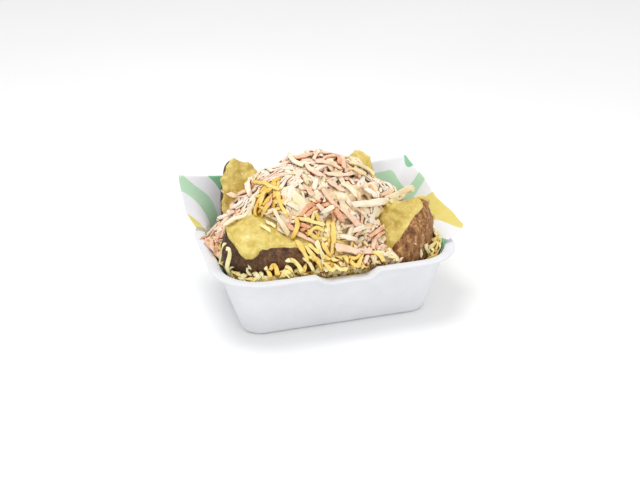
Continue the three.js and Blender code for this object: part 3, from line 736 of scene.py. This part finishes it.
def make_liner():
    stations = rim_stations(arc_step=2.5, side_step=2.5)
    wall_rows, flare_rows = 16, 20
    rows = wall_rows + flare_rows
    routes = []
    for place, normal in stations:
        edge = paper_edge(place)
        drop = dip(place, normal)
        top = paper_wall_top(place, drop)
        inside = rounded([
            (inner_wall(0) + PAPER_START, FLOOR + PAPER_CLEARANCE),
            (inner_wall(0) + 3.5, FLOOR + PAPER_CLEARANCE + 0.2),
            (inner_wall(9) + PAPER_CLEARANCE + 0.4, 9),
            (inner_wall(top) + PAPER_CLEARANCE, top),
        ], PAPER_BEND, 5)
        wall = resample([(d, z, 0.0) for d, z in inside], wall_rows)
        if edge is None:
            on = (wall[-1] - wall[-2]) * PAPER_BRIM
            brim = [wall[-1] + on * k / flare_rows for k in range(1, flare_rows + 1)]
            routes.append(np.vstack([wall, brim]))
            continue
        d = -np.dot(edge[:2] - place, normal)
        along = np.dot(edge[:2] - place, (-normal[1], normal[0]))
        flare = []
        for share in np.arange(1, flare_rows + 1) / flare_rows:
            out = wall[-1][0] + (d - wall[-1][0]) * share**PAPER_BOW
            flare.append((out, wall[-1][1] + (edge[2] - wall[-1][1]) * share, along * share))
        routes.append(np.vstack([wall, flare]))
    routes = np.array(routes)
    steps = norm(np.diff(routes, axis=1), axis=2)
    lengths = np.concatenate([np.zeros((len(routes), 1)), np.cumsum(steps, axis=1)], axis=1)
    points, flat = [], []
    for r in range(rows):
        for c, (place, normal) in enumerate(stations):
            points.append(inset(place, normal, *routes[c, r]))
            flat.append(place - normal * (inner_wall(0) + PAPER_START) + normal * lengths[c, r])
    points = np.array(points)
    outside = np.tile(np.array([(*normal, 0.0) for _, normal in stations]), (rows, 1))
    share = np.repeat(np.clip((np.arange(rows) - wall_rows) / flare_rows, 0, 1), len(stations))
    share *= np.tile([paper_edge(place) is not None for place, _ in stations], rows)
    ripple = np.clip(fractal(points * (1, 1, 0.3), RIPPLE_SIZE, 21, 2) * RIPPLE, RIPPLE_IN, RIPPLE_OUT)
    points += outside * (ripple * np.sin(share * math.pi * 0.75))[:, None]
    count, middle = len(stations), len(points)
    points = np.vstack([points, (0, 0, FLOOR + PAPER_CLEARANCE)])
    flat.append(np.zeros(2))
    faces = band(rows, count) + [(middle, (c + 1) % count, c) for c in range(count)]
    sheet = mesh_object("paper_sheet", points, faces)
    layer = sheet.data.uv_layers.new(name="flat")
    corners = np.zeros(len(sheet.data.loops), dtype=np.int64)
    sheet.data.loops.foreach_get("vertex_index", corners)
    layer.data.foreach_set("uv", (np.array(flat)[corners] * MM).ravel())
    thickness = sheet.modifiers.new("thickness", "SOLIDIFY")
    thickness.thickness = PAPER * MM
    thickness.offset = 0
    liner = baked(sheet, "paper_liner")
    liner.data.materials.append(paper_material())
    return liner


# ---- Potato ----

def petal_mesh(spec, seed):
    """One petal's points and faces, and for each point how far inside the skin it lies, and its tone."""
    sections, cut_steps, skin_steps = 104, 30, 64
    rings, inside, tone = [], [], []
    for k in range(sections + 1):
        t = k / sections
        left, corner, right = (bezier(spec[edge], t) for edge in "aib")
        chord = right - left
        inward = corner - left
        inward = inward - chord * np.dot(inward, chord) / np.dot(chord, chord)
        out = -inward / norm(inward) * norm(chord) * spec["bulge"]
        shares = np.arange(cut_steps) / cut_steps
        turns = np.arange(skin_steps) / skin_steps
        ring = [corner + (left - corner) * s for s in shares]
        ring += [left + chord * s + out * (4 * s * (1 - s)) ** PETAL_ROUNDNESS for s in turns]
        ring += [right + (corner - right) * s for s in shares]
        at_left, at_right = (np.interp(t, *zip(*drip)) for drip in spec["drips"])
        wide = norm(chord)
        inside += list(-norm(left - corner) * (1 - shares) - at_left)
        inside += list(np.minimum(wide * turns - at_left, wide * (1 - turns) * 1.5 - at_right))
        inside += list(-norm(right - corner) * shares - at_right)
        tone += [np.interp(t, (0, 1), spec["tone"])] * len(ring)
        middle = np.mean(ring, axis=0)
        end = clamp(min(t, 1 - t) * sections / TIP_SECTIONS, 0, 1)
        size = TIP_SIZE + (1 - TIP_SIZE) * math.sqrt(1 - (1 - end) ** 2)
        rings.append(middle + (np.array(ring) - middle) * size)
    points, faces = loft(rings)
    inside = np.array(inside + [DEEP, -DEEP])
    inside -= sum(reach * value_noise(points, size, seed + k) for k, (size, reach) in enumerate(SKIN_EDGE))
    return points, faces, inside, np.array(tone + [*spec["tone"]])


def ball(centre, radii, around=60, levels=24):
    rings = []
    angles = np.linspace(0, 2 * math.pi, around, endpoint=False)
    for tilt in np.linspace(0.05, 0.95, levels) * math.pi:
        level = np.full(around, -math.cos(tilt))
        ring = np.column_stack((math.sin(tilt) * np.cos(angles), math.sin(tilt) * np.sin(angles), level))
        rings.append(ring * radii + centre)
    return loft(rings)


def make_potato():
    points, faces = ball(POTATO_BASE["centre"], POTATO_BASE["radii"])
    # The baked column is the flesh's painted shade.
    values = [np.tile([DEEP, 0.0, 0.0, 0.3], (len(points), 1))]  # inside, tone, lip and baked
    for order, spec in enumerate(PETALS.values()):
        petal_points, petal_faces, petal_inside, petal_tone = petal_mesh(spec, 31 + 7 * order)
        faces = faces + [tuple(len(points) + k for k in face) for face in petal_faces]
        points = np.vstack([points, petal_points])
        same = np.tile([spec["lip"], spec["baked"]], (len(petal_points), 1))
        values.append(np.column_stack([petal_inside, petal_tone, same]))
    inside, tone, lip, painted_flesh_shade = np.vstack(values).T.copy()
    potato = mesh_object("potato_petals", points, faces)
    rind = smooth_step(inside, -0.8, 0.8)
    lumps = FLESH_PROUD + sum(fractal(points, size, seed, 2) * high for size, seed, high in FLESH_LUMPS)
    lumps += lip * np.exp(-(((inside + LIP_PLACE) / LIP_WIDTH) ** 2))
    size, seed, high = SKIN_WRINKLES
    wrinkles = fractal(points * (1, 1, 0.55), size, seed, 3) * high - SKIN_SUNK
    shift = lumps * (1 - rind) + wrinkles * rind
    moved = points + normals_of(potato) * shift[:, None]
    moved[:, 2] = np.maximum(moved[:, 2], FLOOR + PAPER_CLEARANCE + PAPER)
    move_points(potato, moved)
    set_values(potato, "rind", rind)
    set_values(potato, "tone", tone)
    # Painted shade: each petal's flesh is darkened by its baked share; next to the skin the flesh is paler.
    set_values(potato, "baked", np.clip(painted_flesh_shade - 0.3 * np.exp(inside / 2.5), -0.2, 1))
    potato.data.materials.append(potato_material())
    return potato


# ---- Camera geometry ----

def camera_axes():
    """The eye, and the camera's right, up and backward directions."""
    azimuth, elevation = math.radians(CAMERA["azimuth"]), math.radians(CAMERA["elevation"])
    back = np.array([
        math.sin(azimuth) * math.cos(elevation),
        -math.cos(azimuth) * math.cos(elevation),
        math.sin(elevation),
    ])
    right = np.array([math.cos(azimuth), math.sin(azimuth), 0.0])
    return np.array(CAMERA["aim"]) + back * CAMERA["distance"], right, np.cross(back, right), back


def sight_line(u, v):
    """The eye, and the direction from it through a point of the image."""
    eye, right, up, back = camera_axes()
    across = (u - CAMERA["aim_px"][0]) / CAMERA["focal_px"]
    down = (v - CAMERA["aim_px"][1]) / CAMERA["focal_px"]
    return Vector(eye), Vector(right * across - up * down - back).normalized()


# ---- Heap: what the shreds lie on ----

class Heap:
    """A smooth ground under the shreds, the lumpy core, and the tops of the shreds laid so far."""

    REACH = 9.0  # how far over the ground the tops of shreds are looked for
    STEP = 1.2  # along a shred
    BLOCK = 1.5  # a loose shred stops where a solid stands higher than this over the ground
    HEADROOM = 3.0  # and where one hangs lower than this over it
    BATCH = 20  # shreds between two updates of the tops
    FEWEST = 5  # points in a route: a shorter shred is left out
    GRAIN = 26  # size of the patches in which shreds lie nearly the same way
    TRACKS = np.array([-0.45, 0.0, 0.45])  # where across a shred the heap under it is felt
    MOST_ROLL = 0.5  # how steeply a shred may tilt across, as a slope
    STIFFNESS = 10  # rounds in which a shred is lifted over the hollows under it

    def __init__(self, ground, core, solids, container):
        self.ground = tree_of(ground)
        self.core = tree_of([core])
        self.solids = tree_of(solids)
        self.seen = tree_of(solids + container)
        self.tops, self.corners, self.waiting = None, [], 0
        self.seats, self.weights = [], []
        for piece in ground:
            for polygon in piece.data.polygons:
                self.seats.append((polygon.center / MM, polygon.normal.copy(), piece.name))
                self.weights.append(polygon.area)

    def bury(self, tree, spot, up):
        """How deep a spot lies inside a tree's bodies, or 0, and the free height over it."""
        hit = tree.ray_cast(spot - up * 0.3, up, 60)
        if not hit[0]:
            return 0.0, 60.0
        return (hit[3], 0.0) if hit[1].dot(up) > 0 else (0.0, hit[3])

    def open_at(self, spot, up):
        deep, free = self.bury(self.solids, spot, up)
        return deep < self.BLOCK and (deep > 0 or free > self.HEADROOM)

    def rise(self, spot, up):
        """How far whatever lies on the ground stands over a spot of it."""
        most = -2.0
        for tree in (self.core, self.ground, self.tops):
            hit = tree.ray_cast(spot + up * self.REACH, -up, self.REACH + 4) if tree else (None,)
            if hit[0]:
                most = max(most, self.REACH - hit[3])
        return max(most, self.bury(self.solids, spot, up)[0])

    def places(self, luck, count, centre, radii, on=("mound", "spill")):
        """Random open spots of the ground inside an ellipsoid, evenly by area, each with its normal."""
        near = [
            k for k, (spot, _, piece) in enumerate(self.seats)
            if piece.startswith(on) and sum(((spot[n] - centre[n]) / radii[n]) ** 2 for n in range(3)) < 1
        ]
        picked = luck.choices(near, [self.weights[k] for k in near], k=count)
        return [self.seats[k][:2] for k in picked if self.open_at(*self.seats[k][:2])]

    def settle_on(self, mass):
        """Puts a finished mass in the place of the core and of the tops laid so far."""
        self.core = tree_of([mass])
        self.tops, self.corners, self.waiting = None, [], 0

    def walk(self, luck, spot, up, length, curl):
        """A route over the ground with its middle at a spot, as spots and normals."""
        turn = 4 * value_noise([spot], self.GRAIN, 77)[0] + luck.gauss(0, 0.55)
        level = Vector((-up.y, up.x, 0)) if abs(up.z) < 0.98 else Vector((1, 0, 0))
        first = (level - up * level.dot(up)).normalized()
        first = first * math.cos(turn) + up.cross(first) * math.sin(turn)
        arms = []
        for sign in (-1, 1):
            at, over, ahead, arm = spot, up, first * sign, []
            for _ in range(int(length / 2 / self.STEP)):
                ahead = ahead + over.cross(ahead) * (sign * curl * self.STEP / length)
                at, over = self.ground.find_nearest(at + ahead * self.STEP)[:2]
                ahead = (ahead - over * ahead.dot(over)).normalized()
                if not self.open_at(at, over):
                    break
                arm.append((at, over))
            arms.append(arm)
        return arms[0][::-1] + [(spot, up)] + arms[1]

    def depth(self, u, v):
        """How far from the eye the heap is seen at a point of the image, or None where it isn't."""
        eye, ray = sight_line(u, v)
        trees = [tree for tree in (self.core, self.ground, self.seen, self.tops) if tree]
        hits = [hit for hit in (tree.ray_cast(eye, ray) for tree in trees) if hit[0]]
        nearest = min(hits, key=lambda hit: hit[3], default=None)
        if nearest and self.ground.find_nearest(nearest[0])[3] < self.REACH:
            return nearest[3]
        return None

    def through(self, image_points, samples=9):
        """A route over the ground along a curve through two or three points of the image.

        Where the camera sees past the heap, the route goes on in the air."""
        places = [np.array(place, float) for place in image_points]
        if len(places) == 2:
            places.insert(1, (places[0] + places[1]) / 2)
        guide = places[1] * 2 - (places[0] + places[2]) / 2
        curve = [bezier((places[0], guide, places[2]), t) for t in np.linspace(0, 1, samples)]
        depths = [self.depth(*place) for place in curve]
        known = [k for k in range(samples) if depths[k]]
        depths = np.interp(range(samples), known, [depths[k] for k in known])
        spots = []
        for place, depth in zip(curve, depths):
            eye, ray = sight_line(*place)
            spot = eye + ray * depth
            near, _, _, away = self.ground.find_nearest(spot)
            spots.append(near if away < self.REACH else spot)
        spots = blurred(np.array(spots), 3)
        length = norm(np.diff(spots, axis=0), axis=1).sum()
        spots = resample(spots, max(6, int(length / self.STEP)))
        return [(Vector(spot), self.ground.find_nearest(Vector(spot))[1]) for spot in spots]

    def lay(self, route, width, thick, sink=0.0, lift=(0.0, 0.0), cap=5.0):
        """A strip at rest on the heap: its points, side vectors and normals. Its top joins the tops.

        Lift is how far each of its ends stands off, and cap how high it may lie over the ground."""
        if len(route) < self.FEWEST:
            return None
        spots = blurred(np.array([spot for spot, _ in route]), 2)
        normals = unit(blurred(np.array([up for _, up in route]), 5))
        ahead = unit(np.gradient(spots, axis=0))
        lateral = unit(np.cross(normals, ahead))
        rises = np.array([
            [self.rise(Vector(spot + side * width * across), Vector(up)) for across in self.TRACKS]
            for spot, up, side in zip(spots, normals, lateral)
        ])
        rises = np.clip(rises, -4, cap)
        roll = np.clip(blurred((rises[:, 2] - rises[:, 0]) / width, 4), -self.MOST_ROLL, self.MOST_ROLL)
        off = (rises - roll[:, None] * width * self.TRACKS).max(axis=1) - sink
        for _ in range(self.STIFFNESS):
            off[1:-1] = np.maximum(off[1:-1], (off[:-2] + off[2:]) / 2)
        share = np.linspace(0, 1, len(route))
        off = np.minimum(blurred(off, 4), cap) + thick / 2 + lift[0] * (1 - share) ** 3 + lift[1] * share**3
        points = spots + normals * off[:, None]
        ahead = unit(np.gradient(points, axis=0))
        side = lateral + normals * roll[:, None]
        side = unit(side - ahead * (side * ahead).sum(1, keepdims=True))
        over = np.cross(ahead, side)
        edges = [points + over * (thick / 2) + side * (width / 2 * sign) for sign in (-1, 1)]
        self.corners.append(np.stack(edges, axis=1))
        self.waiting += 1
        if self.waiting >= self.BATCH:
            self.update()
        return points, side, over

    def update(self):
        faces, total = [], 0
        for strip in self.corners:
            faces += [(k, k + 1, k + 3, k + 2) for k in range(total, total + 2 * len(strip) - 2, 2)]
            total += 2 * len(strip)
        points = np.vstack([strip.reshape(-1, 3) for strip in self.corners])
        self.tops, self.waiting = BVHTree.FromPolygons(points.tolist(), faces), 0


def mesh_lists(pieces):
    """The points and faces of several pieces as one mesh."""
    points, faces = [], []
    for piece in pieces:
        faces += [tuple(len(points) + k for k in polygon.vertices) for polygon in piece.data.polygons]
        points += points_of(piece).tolist()
    return points, faces


def tree_of(pieces):
    return BVHTree.FromPolygons(*mesh_lists(pieces))


def unit(vectors):
    return vectors / np.maximum(norm(vectors, axis=1, keepdims=True), 1e-9)


def kept_inside(points, spare=0.0):
    """Points with those below the rim, or next to the standing paper, drawn in from the wall."""
    by_paper = (points[:, 0] > PAPER_SIDE[0]) | (points[:, 1] > PAPER_SIDE[1])
    low = points[:, 2] < TRAY_HEIGHT + np.where(by_paper, PAPER_SIDE[2], 0)
    points = points.copy()
    points[low] = contained(points[low], spare)
    return points


def contained(points, spare=0.0):
    """Points drawn in from the tray's wall, by a spare distance more than the food needs."""
    beyond = points[:, :2] - np.clip(points[:, :2], -CORE, CORE)
    far = norm(beyond, axis=1)
    most = CORNER_RADIUS - inner_wall(np.minimum(points[:, 2], TRAY_HEIGHT)) - FOOD_CLEARANCE - spare
    keep = np.minimum(1, most / np.maximum(far, 1e-6))
    return np.column_stack([points[:, :2] - beyond * (1 - keep)[:, None], points[:, 2]])


class Shreds:
    """Strips gathered into one mesh, each with a tint of its own."""

    SIDE = [(1, -0.5), (1, 0.5), (0.8, 1), (-0.8, 1)]
    SECTION = np.array(SIDE + [(-across, -up) for across, up in SIDE])
    CREASE = math.radians(32)
    CUT_ENDS = (0.55, 0.95)  # the size of a strip's two ends
    SLANT = 0.6  # how far askew they are cut, either way
    TWIST = 0.9  # how far a strip may turn about its length, in radians

    def __init__(self):
        self.points, self.faces, self.tint, self.total = [], [], [], 0

    def add(self, laid, width, thick, tint, luck):
        if laid is None:
            return
        path, side, over = laid
        count, c = len(path), len(self.SECTION)
        share = np.linspace(0, 1, count)
        size = np.ones(count)
        size[[0, -1]] = luck.uniform(*self.CUT_ENDS), luck.uniform(*self.CUT_ENDS)
        wide = width / 2 * size * (1 + 0.15 * np.sin(share * luck.uniform(4, 14) + luck.uniform(0, 6)))
        high = thick / 2 * size * (1 + 0.15 * np.sin(share * luck.uniform(4, 12) + luck.uniform(0, 6)))
        twist = (luck.uniform(-self.TWIST, self.TWIST) * (share - 0.5))[:, None]
        level = side * np.cos(twist) + over * np.sin(twist)
        upright = over * np.cos(twist) - side * np.sin(twist)
        rings = path[:, None, :] + level[:, None, :] * (self.SECTION[:, 0] * wide[:, None])[..., None]
        rings += upright[:, None, :] * (self.SECTION[:, 1] * high[:, None])[..., None]
        slant = self.SECTION[:, 0] * width / 2
        rings[0] += (path[0] - path[1]) * slant[:, None] * luck.uniform(-self.SLANT, self.SLANT)
        rings[-1] += (path[-1] - path[-2]) * slant[:, None] * luck.uniform(-self.SLANT, self.SLANT)
        spare = luck.uniform(LEAST_AT_WALL, SHREDS_AT_WALL)
        self.points.append(kept_inside(rings.reshape(-1, 3), spare))
        self.faces += band(count, c, self.total)
        self.faces.append(tuple(self.total + k for k in reversed(range(c))))
        self.faces.append(tuple(self.total + (count - 1) * c + k for k in range(c)))
        self.tint.append(np.full(count * c, tint))
        self.total += count * c

    def add_body(self, points, faces, tint):
        self.points.append(points)
        self.faces += [tuple(self.total + k for k in face) for face in faces]
        self.tint.append(np.full(len(points), tint))
        self.total += len(points)

    def make(self, name):
        points = np.vstack(self.points)
        points += np.column_stack([fractal(points, 3.0, seed, 2) for seed in (61, 67, 71)]) * 0.3
        made = mesh_object(name, kept_inside(points), self.faces)
        made.data.set_sharp_from_angle(angle=self.CREASE)
        set_values(made, "tint", np.concatenate(self.tint))
        return made


def shade_hollows(things, around):
    """Marks how much of the open air near each point is taken: 0 in the open, 1 deep in a gap. The moist
    finishes paint shade into their colour by it.
    """
    tree = tree_of(things + around)
    for thing in things:
        values = []
        for spot, up in zip(points_of(thing), normals_of(thing)):
            spot, up = Vector(spot), Vector(up)
            first = up.orthogonal().normalized()
            second = up.cross(first)
            start, taken = spot + up * HOLLOW_START, 0.0
            for ray in (up, up + first, up - first, up + second, up - second):
                hit = tree.ray_cast(start, ray, HOLLOW_REACH)
                taken += 1 - hit[3] / HOLLOW_REACH if hit[0] else 0.0
            values.append(taken / 5)
        set_values(thing, "hollow", np.array(values))


# ---- Slaw ----

def mound_reach(angle):
    x = math.cos(angle) / (MOUND["right"] if math.cos(angle) > 0 else MOUND["left"])
    y = math.sin(angle) / (MOUND["back"] if math.sin(angle) > 0 else MOUND["front"])
    return 1 / math.hypot(x, y)


def mound_height(x, y):
    dx, dy = x - MOUND["centre"][0], y - MOUND["centre"][1]
    share = math.hypot(dx, dy) / mound_reach(math.atan2(dy, dx))
    rise = (MOUND["peak"] - MOUND["rim"]) * (1 - min(share, 1.2) ** MOUND["roundness"])
    for place, spread, height in SHOULDERS:
        rise += height * math.exp(-((math.dist((x, y), place) / spread) ** 2))
    return MOUND["rim"] + rise


def mound(name, rough, deeper=0.0):
    """The mound under its shreds, with broad lumps and, if rough, with small ones too."""
    rings = []
    for share in np.linspace(1, 0.02, 60):
        ring = []
        for angle in np.linspace(0, 2 * math.pi, 180, endpoint=False):
            x = MOUND["centre"][0] + math.cos(angle) * mound_reach(angle) * share
            y = MOUND["centre"][1] + math.sin(angle) * mound_reach(angle) * share
            ring.append((x, y, mound_height(x, y)))
        rings.append(np.array(ring))
    foot = rings[0] * (1, 1, 0) + (0, 0, MOUND["foot"])
    points, faces = loft([foot] + rings)
    core = mesh_object(name, points, faces)
    lumps = value_noise(points, 22, 5) * 3.5 + fractal(points, 7, 9, 2) * rough - MOUND["sink"] - deeper
    move_points(core, contained(points + normals_of(core) * lumps[:, None], SHREDS_AT_WALL))
    return core


def bed(name, centre, radii):
    points, faces = ball(centre, radii)
    return mesh_object(name, contained(points, SHREDS_AT_WALL), faces)


def flake(luck, spot, up, long, thick):
    """A torn, bent plate of dressed cabbage that lies askew on the heap, as points and faces."""
    corners, wide = 12, long * luck.uniform(0.45, 0.85)
    angles = np.linspace(0, 2 * math.pi, corners, endpoint=False) + luck.uniform(0, 1)
    torn = np.array([luck.uniform(0.72, 1.15) for _ in range(corners)])
    outline = np.column_stack([long * np.cos(angles) * torn, wide * np.sin(angles) * torn])
    rings = []
    for share, level in ((0.4, -0.5), (0.92, -0.5), (1.0, 0.1), (0.9, 0.5), (0.4, 0.6)):
        rings.append(np.column_stack([outline * share, np.full(corners, thick * level)]))
    points, faces = loft(rings)
    bend, fold = luck.uniform(-0.2, 0.3) / long, luck.uniform(-0.2, 0.2) / long
    points[:, 2] += bend * points[:, 0] ** 2 + fold * points[:, 0] * points[:, 1]
    over = (up + Vector([luck.gauss(0, 0.24) for _ in range(3)])).normalized()
    first = over.orthogonal().normalized()
    turn = luck.uniform(0, 2 * math.pi)
    first = first * math.cos(turn) + over.cross(first) * math.sin(turn)
    return points @ np.array([first, over.cross(first), over]) + np.array(spot), faces


def make_slaw(heap, cores):
    """The creamy mass: the mound's core, flakes and strips of cabbage, stuck together by the dressing."""
    luck = random.Random(4)
    strips = Shreds()
    for spot, up in heap.places(luck, FLAKES, *EVERYWHERE):
        raised = spot + up * luck.uniform(0.2, 3.6)
        points, faces = flake(luck, raised, up, luck.uniform(4, 9), luck.uniform(1.5, 2.6))
        points = kept_inside(points, luck.uniform(LEAST_AT_WALL, SHREDS_AT_WALL))
        strips.add_body(points, faces, luck.uniform(0.0, 0.7))
    for u, v, long in LUMPS:
        eye, ray = sight_line(u, v)
        spot, up = heap.ground.find_nearest(eye + ray * heap.depth(u, v))[:2]
        points, faces = flake(luck, spot + up * LUMP_RAISE, up, long, LUMP_THICK)
        strips.add_body(points, faces, luck.uniform(0.15, 0.35))
    for spot, up in heap.places(luck, STRIPS, *EVERYWHERE):
        width, thick = luck.uniform(2.2, 4.4), luck.uniform(1.5, 2.2)
        route = heap.walk(luck, spot, up, luck.uniform(9, 24), luck.uniform(-1.2, 1.2))
        tint = luck.choice((luck.uniform(0.0, 0.5), luck.uniform(0.3, 0.95)))
        laid = heap.lay(route, width, thick, luck.uniform(0, 1.0), cap=4.5)
        strips.add(laid, width, thick, tint, luck)
    strips = strips.make("strips")
    mass = mesh_object("mass", *mesh_lists([*cores, strips]))
    remesh = mass.modifiers.new("melt", "REMESH")
    remesh.mode = "VOXEL"
    remesh.voxel_size = SLAW_VOXEL * MM
    relax = mass.modifiers.new("relax", "SMOOTH")
    relax.factor, relax.iterations = 0.5, 1
    mass.modifiers.new("thin", "DECIMATE").ratio = SLAW_KEPT
    slaw = baked(mass, "slaw_creamy")
    slaw.data.polygons.foreach_set("use_smooth", [True] * len(slaw.data.polygons))
    tints = np.zeros(len(strips.data.vertices))
    strips.data.attributes["tint"].data.foreach_get("value", tints)
    tree = tree_of([strips])
    near = SLAW_VOXEL * 1.5
    values = []
    for point in points_of(slaw):
        _, _, face, away = tree.find_nearest(Vector(point))
        values.append(tints[strips.data.polygons[face].vertices[0]] if away < near else BARE_TINT)
    set_values(slaw, "tint", values)
    bpy.data.objects.remove(strips)
    return slaw


def make_shreds(heap, beds):
    luck = random.Random(12)
    pieces = {name: Shreds() for name in sorted(set(PIECE_OF.values()))}
    for centre, radii in beds:
        points, faces = ball(centre, np.array(radii) - BED_DEPTH)
        pieces["cheddar"].add_body(contained(points, SHREDS_AT_WALL), faces, 0.8)
    for kind, count, region, tint in BEDS:
        spec = KINDS[kind]
        on = ("mound", "spill", "bed") if kind == "cheddar" else ("mound", "spill")
        for spot, up in heap.places(luck, count, *region, on):
            width = luck.uniform(*spec["width"])
            thick = width * luck.uniform(*spec["thick"])
            curl = luck.uniform(-1, 1) * spec["curl"]
            route = heap.walk(luck, spot, up, luck.uniform(*spec["length"]), curl)
            lift = (luck.random() ** 3 * spec["lift"], luck.random() ** 3 * spec["lift"])
            laid = heap.lay(route, width, thick, spec["sink"], lift)
            pieces[PIECE_OF[kind]].add(laid, width, thick, luck.uniform(*tint), luck)
    for start, end, count, apart in FANS:
        middle = heap.through([start, end])
        ahead = unit(np.gradient(np.array([spot for spot, _ in middle]), axis=0))
        for k in range(count):
            across = (k - (count - 1) / 2) * apart
            shifted = [
                spot + Vector(np.cross(up, along)) * across
                for (spot, up), along in zip(middle, ahead)
            ]
            cut = luck.randint(0, 4), luck.randint(0, 4)
            route = [heap.ground.find_nearest(spot)[:2] for spot in shifted[cut[0]:len(shifted) - cut[1]]]
            width = apart * luck.uniform(0.95, 1.3)
            laid = heap.lay(route, width, FAN_THICK, luck.uniform(0.3, 0.9))
            pieces["carrot"].add(laid, width, FAN_THICK, luck.uniform(0, 0.25), luck)
    for kind, heroes in (("carrot", CARROT), ("cabbage", CABBAGE), ("cheddar", CHEDDAR)):
        for width, tint, *image_points in heroes:
            thick = width * luck.uniform(0.45, 0.6)
            laid = heap.lay(heap.through(np.reshape(image_points, (-1, 2))), width, thick, cap=HERO_CAP)
            pieces[kind].add(laid, width, thick, tint, luck)
    return {kind: shreds.make(f"shreds_{kind}") for kind, shreds in pieces.items()}


# ---- Light, floor and camera ----

def aimed(name, data, place, back):
    """An object that looks from a place, in metres, against the direction back."""
    made = linked(name, data)
    made.location = place
    made.rotation_mode = "QUATERNION"
    made.rotation_quaternion = Vector(back).to_track_quat("Z", "Y")
    return made


def area_light(name, place, size, power):
    light = bpy.data.lights.new(name, "AREA")
    light.shape = "DISK"
    light.size = size
    light.energy = power
    aimed(name, light, place, Vector(place) - Vector(LIGHT_AIM))


def make_camera():
    data = bpy.data.cameras.new("camera")
    data.sensor_width = SENSOR
    data.lens = CAMERA["focal_px"] / IMAGE_WIDTH * SENSOR
    data.shift_x = (IMAGE_WIDTH / 2 - CAMERA["aim_px"][0]) / IMAGE_WIDTH
    data.shift_y = (CAMERA["aim_px"][1] - IMAGE_HEIGHT / 2) / IMAGE_WIDTH
    data.clip_start, data.clip_end = 0.01, 20
    eye, _, _, back = camera_axes()
    bpy.context.scene.camera = aimed("camera", data, eye * MM, back)


def make_stage():
    corners = [(-1, -1, 0), (1, -1, 0), (1, 1, 0), (-1, 1, 0)]
    floor = mesh_object("floor", np.array(corners) * FLOOR_REACH, [(0, 1, 2, 3)])
    floor.data.materials.append(floor_material())
    world = bpy.data.worlds.new("studio")
    world.use_nodes = True
    background = world.node_tree.nodes["Background"].inputs
    background["Color"].default_value, background["Strength"].default_value = (1, 1, 1, 1), WORLD_LIGHT
    bpy.context.scene.world = world
    for light in LIGHTS:
        area_light(*light)
    bpy.context.scene.view_settings.view_transform = "Standard"


# ---- The whole ----

make_camera()
make_stage()
tray = make_tray()
liner = make_liner()
potato = make_potato()
slaw_beds = [bed("spill", *place) for place in SLAW_BEDS]
ground = [mound("mound", 0.0), *slaw_beds, *(bed("bed", *place) for place in CHEESE_BEDS)]
core = mound("core", 1.2, CORE_DEPTH)
heap = Heap(ground, core, [potato], [tray, liner])
slaw = make_slaw(heap, [core, *slaw_beds])
heap.settle_on(slaw)
shreds = make_shreds(heap, CHEESE_BEDS)
for piece in (core, *ground):
    bpy.data.objects.remove(piece)
# How closed in each point is, for the painted shade of the moist finishes.
shade_hollows([slaw, *shreds.values()], [potato])

finishes = [(slaw, "creamy_slaw"), (shreds["cheddar"], "grated_cheese")]
finishes += [(shreds[kind], kind) for kind in ("carrot", "cabbage")]
for piece, finish in finishes:
    piece.data.materials.clear()
    piece.data.materials.append(moist_material(finish))

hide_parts("tray")
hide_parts("liner")
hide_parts("potato")
for piece in (slaw, shreds["carrot"], shreds["cabbage"]):
    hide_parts("slaw")
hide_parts("cheese_front", "cheese_top", "cheese_right", "cheese_left")
for piece in (tray, liner, potato, slaw, *shreds.values()):
    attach(piece, "root")
    print(piece.name, sum(len(p.vertices) - 2 for p in piece.data.polygons), "triangles")
